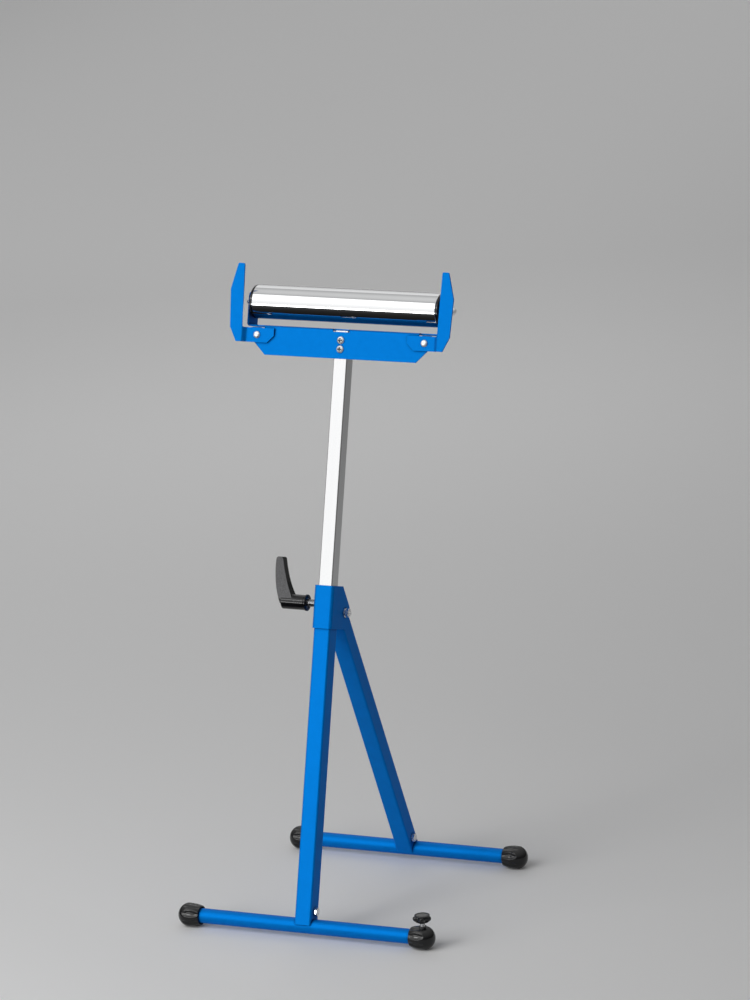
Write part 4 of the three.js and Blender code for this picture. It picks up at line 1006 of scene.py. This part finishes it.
for vert in cradle.verts:
    side = 1 if vert.co.x > 0 else -1
    run, rise = abs(vert.co.x), vert.co.y
    if rise <= plate_height:
        y, z = PLATE_FRONT, CRADLE_LOW + rise
    elif rise <= flange_start:
        angle = (rise - plate_height) / FOLD
        y, z = PLATE_FRONT + FOLD - FOLD * cos(angle), CRADLE_HIGH - FOLD + FOLD * sin(angle)
    else:
        y, z = flange_front + rise - flange_start, CRADLE_HIGH
    if rise > flange_start and run > ear_start:
        angle = min((run - ear_start) / EAR_BEND, pi / 2)
        run_up = max(0, run - ear_start - ear_length)
        z += EAR_BEND * (1 - cos(angle)) + run_up
        run = ear_start + EAR_BEND * sin(angle)
    vert.co = (side * run, y, z)
piece("cradle_folded", thick(cradle, SHEET), up_post, "head", ["cradle"], blue_coat)


# Cradle screws.
# Zinc plated pan head screws with cross recesses through the plate and the inner post, nuts behind.
zinc_white = skinned(
    "white_zinc", (0.84, 0.845, 0.85), (0.92, 0.922, 0.925), (0.42, 0.52),
    grain_size=0.7, cloud_size=4, relief=0.06, metallic=1.0,
)

PAN_RADIUS, PAN_HEIGHT = 6.5, 3.3
WING, REACH, RECESS = 1.1, 3.6, 2.2
PITCH_M6 = 1.0
turn_round = Matrix.Rotation(pi, 4, "X")


def crowned(radius, height, first, last, step):
    """The rising side of a round head, between these angles in degrees."""
    angles = [radians(angle) for angle in range(first, last, step)]
    return [(radius * cos(angle), height * sin(angle)) for angle in angles]


def m6_shank(length):
    """A screwed shank that hangs under a head at z = 0, with its root inside the head."""
    return moved(threaded(M6_RADIUS, PITCH_M6, -0.3, length), turn_round)


def pan_screw(length):
    """A pan head with a pressed cross recess, whose flanks take the second material, a dark zinc that paints
    shade into the recess, and its shank.
    """
    rows, lid_rows = 26, 14
    profile = [(0, 0)]
    profile += [(PAN_RADIUS * row / rows, 0) for row in range(1, rows + 1)]
    profile += crowned(PAN_RADIUS, PAN_HEIGHT, 12, 84, 6)
    lid = profile[-1][0]
    profile += [(lid * (1 - row / lid_rows), PAN_HEIGHT) for row in range(1, lid_rows + 1)]
    head = turned(profile, 96)
    for vert in head.verts:
        wing = min(abs(vert.co.x), abs(vert.co.y))
        reach = hypot(vert.co.x, vert.co.y)
        if vert.co.z > 0.9 * PAN_HEIGHT and wing < WING and reach < REACH:
            vert.co.z -= RECESS * (1 - (wing / WING) ** 4) * (1 - (reach / REACH) ** 6)
    # Painted shade: the faces inside the cross recess take the dark zinc
    for face in head.faces:
        middle = face.calc_center_median()
        if 0.4 < middle.z < PAN_HEIGHT - 0.5 and hypot(middle.x, middle.y) < REACH:
            face.material_index = 1
    return joined(head, m6_shank(length))


M6_ACROSS, M6_NUT = 10, 5
for name, z in [("upper", 984), ("lower", 969)]:
    screw_place = up_post @ at(0, PLATE_FRONT - GAP, z) @ to_front
    screw = pan_screw(SHEET + GAP + 2 * (INNER_HALF + GAP) + M6_NUT + THREAD_PROUD)
    drive = piece(
        f"cradle_screw_{name}", screw, screw_place, "head", [f"cradle_bolt_{name}"],
        zinc_white, 30,
    )
    drive.data.materials.append(zinc_dull_and_recess_shade)
    nut_place = up_post @ at(0, INNER_HALF + GAP, z) @ to_back
    nut = hex_nut(M6_ACROSS, M6_NUT, M6_RADIUS + GAP)
    piece(f"cradle_hex_nut_{name}", nut, nut_place, "head", [f"cradle_nut_{name}"], zinc, 25)


# Side guides.
# Laser cut and joggled steel sheet: a tab bolted to the plate, a step forward, and a tapering upright that
# keeps the work on the roller. Each swings out about its one bolt, a white zinc plated round head.
GUIDE_SHEET = 3
GUIDE_BOLT = (154.9, 986)
GUIDE_ROUND = 2.5
TAB_INNER = 31.5
TAB_ABOVE = 12
TAB_BELOW = 12.7
TAB_CHAMFER = 12
JOGGLE = 6.5
JOGGLE_START, JOGGLE_END = 20, 25
JOGGLE_EASE = 2
UPRIGHT_WIDTH = 26
UPRIGHT_RISE = 119.5
UPRIGHT_FLARE = 3
UPRIGHT_TAPER = 44
TIP_WIDTH = 12
HEEL_WIDTH, HEEL_RISE = 15, 24
BUTTON_RADIUS, BUTTON_HEIGHT = 6, 3.3
GUIDE_WASHER_RADIUS = 6.5

tab_front = PLATE_FRONT - GAP - GUIDE_SHEET
plate_back = PLATE_FRONT + SHEET + GAP
upright_outer = JOGGLE_END + UPRIGHT_WIDTH
tip_inner = JOGGLE_END + UPRIGHT_FLARE
tip_outer = tip_inner + TIP_WIDTH
tip_round_at = UPRIGHT_RISE - GUIDE_ROUND
guide_outline = [
    (-TAB_INNER, TAB_ABOVE), (-TAB_INNER, TAB_CHAMFER - TAB_BELOW), (TAB_CHAMFER - TAB_INNER, -TAB_BELOW),
    (upright_outer - HEEL_WIDTH, -TAB_BELOW), (upright_outer - UPRIGHT_FLARE, HEEL_RISE - TAB_BELOW),
    (upright_outer, UPRIGHT_RISE - UPRIGHT_TAPER),
]
guide_outline += arc(tip_outer - GUIDE_ROUND, tip_round_at, GUIDE_ROUND, 0, 90, 4)
guide_outline += arc(tip_inner + GUIDE_ROUND, tip_round_at, GUIDE_ROUND, 90, 180, 4)
guide_outline += arc(JOGGLE_END - GUIDE_ROUND, TAB_ABOVE + GUIDE_ROUND, GUIDE_ROUND, 0, -90, 4)
ease_in = spaced(JOGGLE_START - JOGGLE_EASE, JOGGLE_START + JOGGLE_EASE, 6)
ease_out = spaced(JOGGLE_END - JOGGLE_EASE, JOGGLE_END + JOGGLE_EASE, 6)
joggle_slope = JOGGLE / (JOGGLE_END - JOGGLE_START)
guide_bolt_length = GUIDE_SHEET + SHEET + WASHER + M6_NUT + THREAD_PROUD + 4 * GAP


def joggled(x):
    """How far forward the sheet has stepped at this place: eased in, straight, eased out."""
    into = max(0, min(x - ease_in[0], 2 * JOGGLE_EASE))
    straight = max(0, min(x, ease_out[0]) - ease_in[-1])
    out = max(0, min(x - ease_out[0], 2 * JOGGLE_EASE))
    eased = into * into / (4 * JOGGLE_EASE) + out - out * out / (4 * JOGGLE_EASE)
    return joggle_slope * (eased + straight)


for name, side in [("left", -1), ("right", 1)]:
    guide = blank(guide_outline)
    scored(guide, "X", ease_in + ease_out)
    for vert in guide.verts:
        x, z = vert.co.x, vert.co.y
        vert.co = (side * (GUIDE_BOLT[0] + x), tab_front - joggled(x), GUIDE_BOLT[1] + z)
    sheet = thick(guide, GUIDE_SHEET)
    piece(f"guide_{name}_sheet", sheet, up_post, f"guide_{name}", [f"{name}_guide"], blue_coat)

    bolt_x = side * GUIDE_BOLT[0]
    dome = [(0, 0), (BUTTON_RADIUS, 0)]
    dome += crowned(BUTTON_RADIUS, BUTTON_HEIGHT, 8, 90, 8) + [(0, BUTTON_HEIGHT)]
    bolt = joined(turned(dome, 64), m6_shank(guide_bolt_length))
    place = up_post @ at(bolt_x, tab_front - GAP, GUIDE_BOLT[1]) @ to_front
    piece(
        f"guide_round_bolt_{name}", bolt, place, "head", [f"guide_bolt_{name}"],
        zinc_white, 30,
    )
    disc = ring(M6_RADIUS + GAP, GUIDE_WASHER_RADIUS, 0, WASHER, 0.25)
    place = up_post @ at(bolt_x, plate_back, GUIDE_BOLT[1]) @ to_back
    piece(f"guide_disc_{name}", disc, place, "head", [f"guide_washer_{name}"], zinc)
    place = up_post @ at(bolt_x, plate_back + WASHER + GAP, GUIDE_BOLT[1]) @ to_back
    nut = hex_nut(M6_ACROSS, M6_NUT, M6_RADIUS + GAP)
    piece(f"guide_hex_nut_{name}", nut, place, "head", [f"guide_nut_{name}"], zinc, 25)


# Axle.
# Turned steel with shoulders against the ears, a plain nut on its left end and a dome nut on its right, and a
# spacer at each end of the roller.
axle_line = up_post @ at(0, AXLE_BACK, CRADLE_HIGH + AXLE_RISE) @ to_x
both_ends = [("left", turn_round), ("right", Matrix.Identity(4))]
AXLE, AXLE_END = 6, 5
AXLE_PROUD = 4.5
M10_ACROSS, M10_NUT, PITCH_M10 = 16, 5, 1.5
DOME_NUT, DOME_RADIUS, DOME_HEIGHT = 8.4, 6.6, 7
DOME_STEPS = 15
SPACER_RADIUS = 9
CAP_FACE = 174.3
nut_seat = EAR_INNER + SHEET + GAP
shoulder = EAR_INNER - GAP
stop = nut_seat + DOME_NUT
rod = turned([
    (0, -shoulder), (AXLE, -shoulder), (AXLE, shoulder), (AXLE_END, shoulder), (AXLE_END, stop), (0, stop),
], 48)
end = moved(threaded(AXLE_END, PITCH_M10, shoulder - 0.2, nut_seat + M10_NUT + AXLE_PROUD), turn_round)
piece("axle_turned", joined(soften(rod, 0.3), end), axle_line, "head", ["axle"], zinc, 30)
bore = AXLE_END + GAP
nut = hex_nut(M10_ACROSS, M10_NUT, bore)
nut_place = axle_line @ at(0, 0, -nut_seat) @ turn_round
piece("axle_plain_nut", nut, nut_place, "head", ["axle_nut"], zinc, 25)
wide, face = M10_ACROSS * HEX_BLANK, M10_ACROSS * HEX_FACE
acorn = [(bore, 0), (face, 0), (wide, 0), (wide, DOME_NUT), (face, DOME_NUT)]
for step in range(DOME_STEPS):
    angle = step / DOME_STEPS * pi / 2
    acorn.append((DOME_RADIUS * cos(angle), DOME_NUT + DOME_HEIGHT * sin(angle)))
acorn += [(0, DOME_NUT + DOME_HEIGHT), (0, DOME_NUT + GAP), (bore, DOME_NUT + GAP)]
dome_nut = hexed(turned(acorn, HEX_STEPS, closed=True), M10_ACROSS, 0, DOME_NUT)
dome_place = axle_line @ at(0, 0, nut_seat)
piece("axle_acorn_nut", dome_nut, dome_place, "head", ["axle_dome_nut"], zinc_white, 25)
for name, flip in both_ends:
    spacer = ring(AXLE + GAP, SPACER_RADIUS, CAP_FACE + GAP, shoulder, 0.3)
    place = axle_line @ flip
    piece(f"axle_collar_{name}", spacer, place, "head", [f"axle_spacer_{name}"], zinc)


# Roller.
# Polished chrome plated tube with its ends rolled in, turning on a ball bearing in each black end cap.
ROLLER_RADIUS = 29
ROLLER_HALF = 170
ROLLER_WALL = 1.5
ROLLED_EDGE = 1.4
CAP_DEPTH = 18
CAP_FLANGE = 4
CAP_GROOVE = 1.4
CAP_BORE = 6.6
BEARING_RADIUS = 14
BEARING_WIDTH = 8
SHIELD_SUNK = 0.7
chrome = drawn(
    "polished_chrome", (0.575, 0.58, 0.585), (0.605, 0.61, 0.615), (0.03, 0.06),
    (1, 0.03, 0.03), (0, 0, 0), fine=1400, broad=30, relief=0.001,
)
ground_steel = skinned(
    "ground_bearing_steel", (0.50, 0.51, 0.52), (0.62, 0.63, 0.64), (0.2, 0.3),
    grain_size=0.5, cloud_size=4, relief=0.05, metallic=1.0,
)
inside = ROLLER_RADIUS - ROLLER_WALL
edge_radius = ROLLER_RADIUS - ROLLED_EDGE
edge_place = ROLLER_HALF - ROLLED_EDGE
shell = [(inside, -ROLLER_HALF)]
shell += arc(edge_radius, -edge_place, ROLLED_EDGE, -90, 0, 6)
shell += arc(edge_radius, edge_place, ROLLED_EDGE, 0, 90, 6)
shell += [(inside, ROLLER_HALF)]
tube = turned(shell, 160, closed=True)
piece("roller_shell", tube, axle_line, "roller", ["roller_tube"], chrome)
plug = inside - GAP
rim = ROLLER_RADIUS - GAP
seat = BEARING_RADIUS + GAP
seat_floor = CAP_FACE - BEARING_WIDTH - GAP
groove = CAP_FACE - CAP_GROOVE
shield = CAP_FACE - SHIELD_SUNK
bore = AXLE + GAP
for name, flip in both_ends:
    place = axle_line @ flip
    cap = turned([
        (CAP_BORE, CAP_FACE - CAP_DEPTH), (plug, CAP_FACE - CAP_DEPTH), (plug, CAP_FACE - CAP_FLANGE),
        (rim, CAP_FACE - CAP_FLANGE), (rim, CAP_FACE - 1), (rim - 1, CAP_FACE), (24.5, CAP_FACE),
        (23.5, groove), (18.5, groove), (17.5, CAP_FACE), (seat, CAP_FACE), (seat, seat_floor),
        (CAP_BORE, seat_floor),
    ], 128, closed=True)
    piece(
        f"roller_end_{name}", soften(cap, 0.35), place, "roller", [f"roller_cap_{name}"],
        black_moulding,
    )
    race = turned([
        (bore, CAP_FACE - BEARING_WIDTH), (BEARING_RADIUS, CAP_FACE - BEARING_WIDTH),
        (BEARING_RADIUS, CAP_FACE), (12.2, CAP_FACE), (12.0, shield), (8.6, shield), (8.4, CAP_FACE),
        (bore, CAP_FACE),
    ], 64, closed=True)
    piece(
        f"roller_race_{name}", soften(race, 0.2), place, "roller", [f"roller_bearing_{name}"],
        ground_steel,
    )
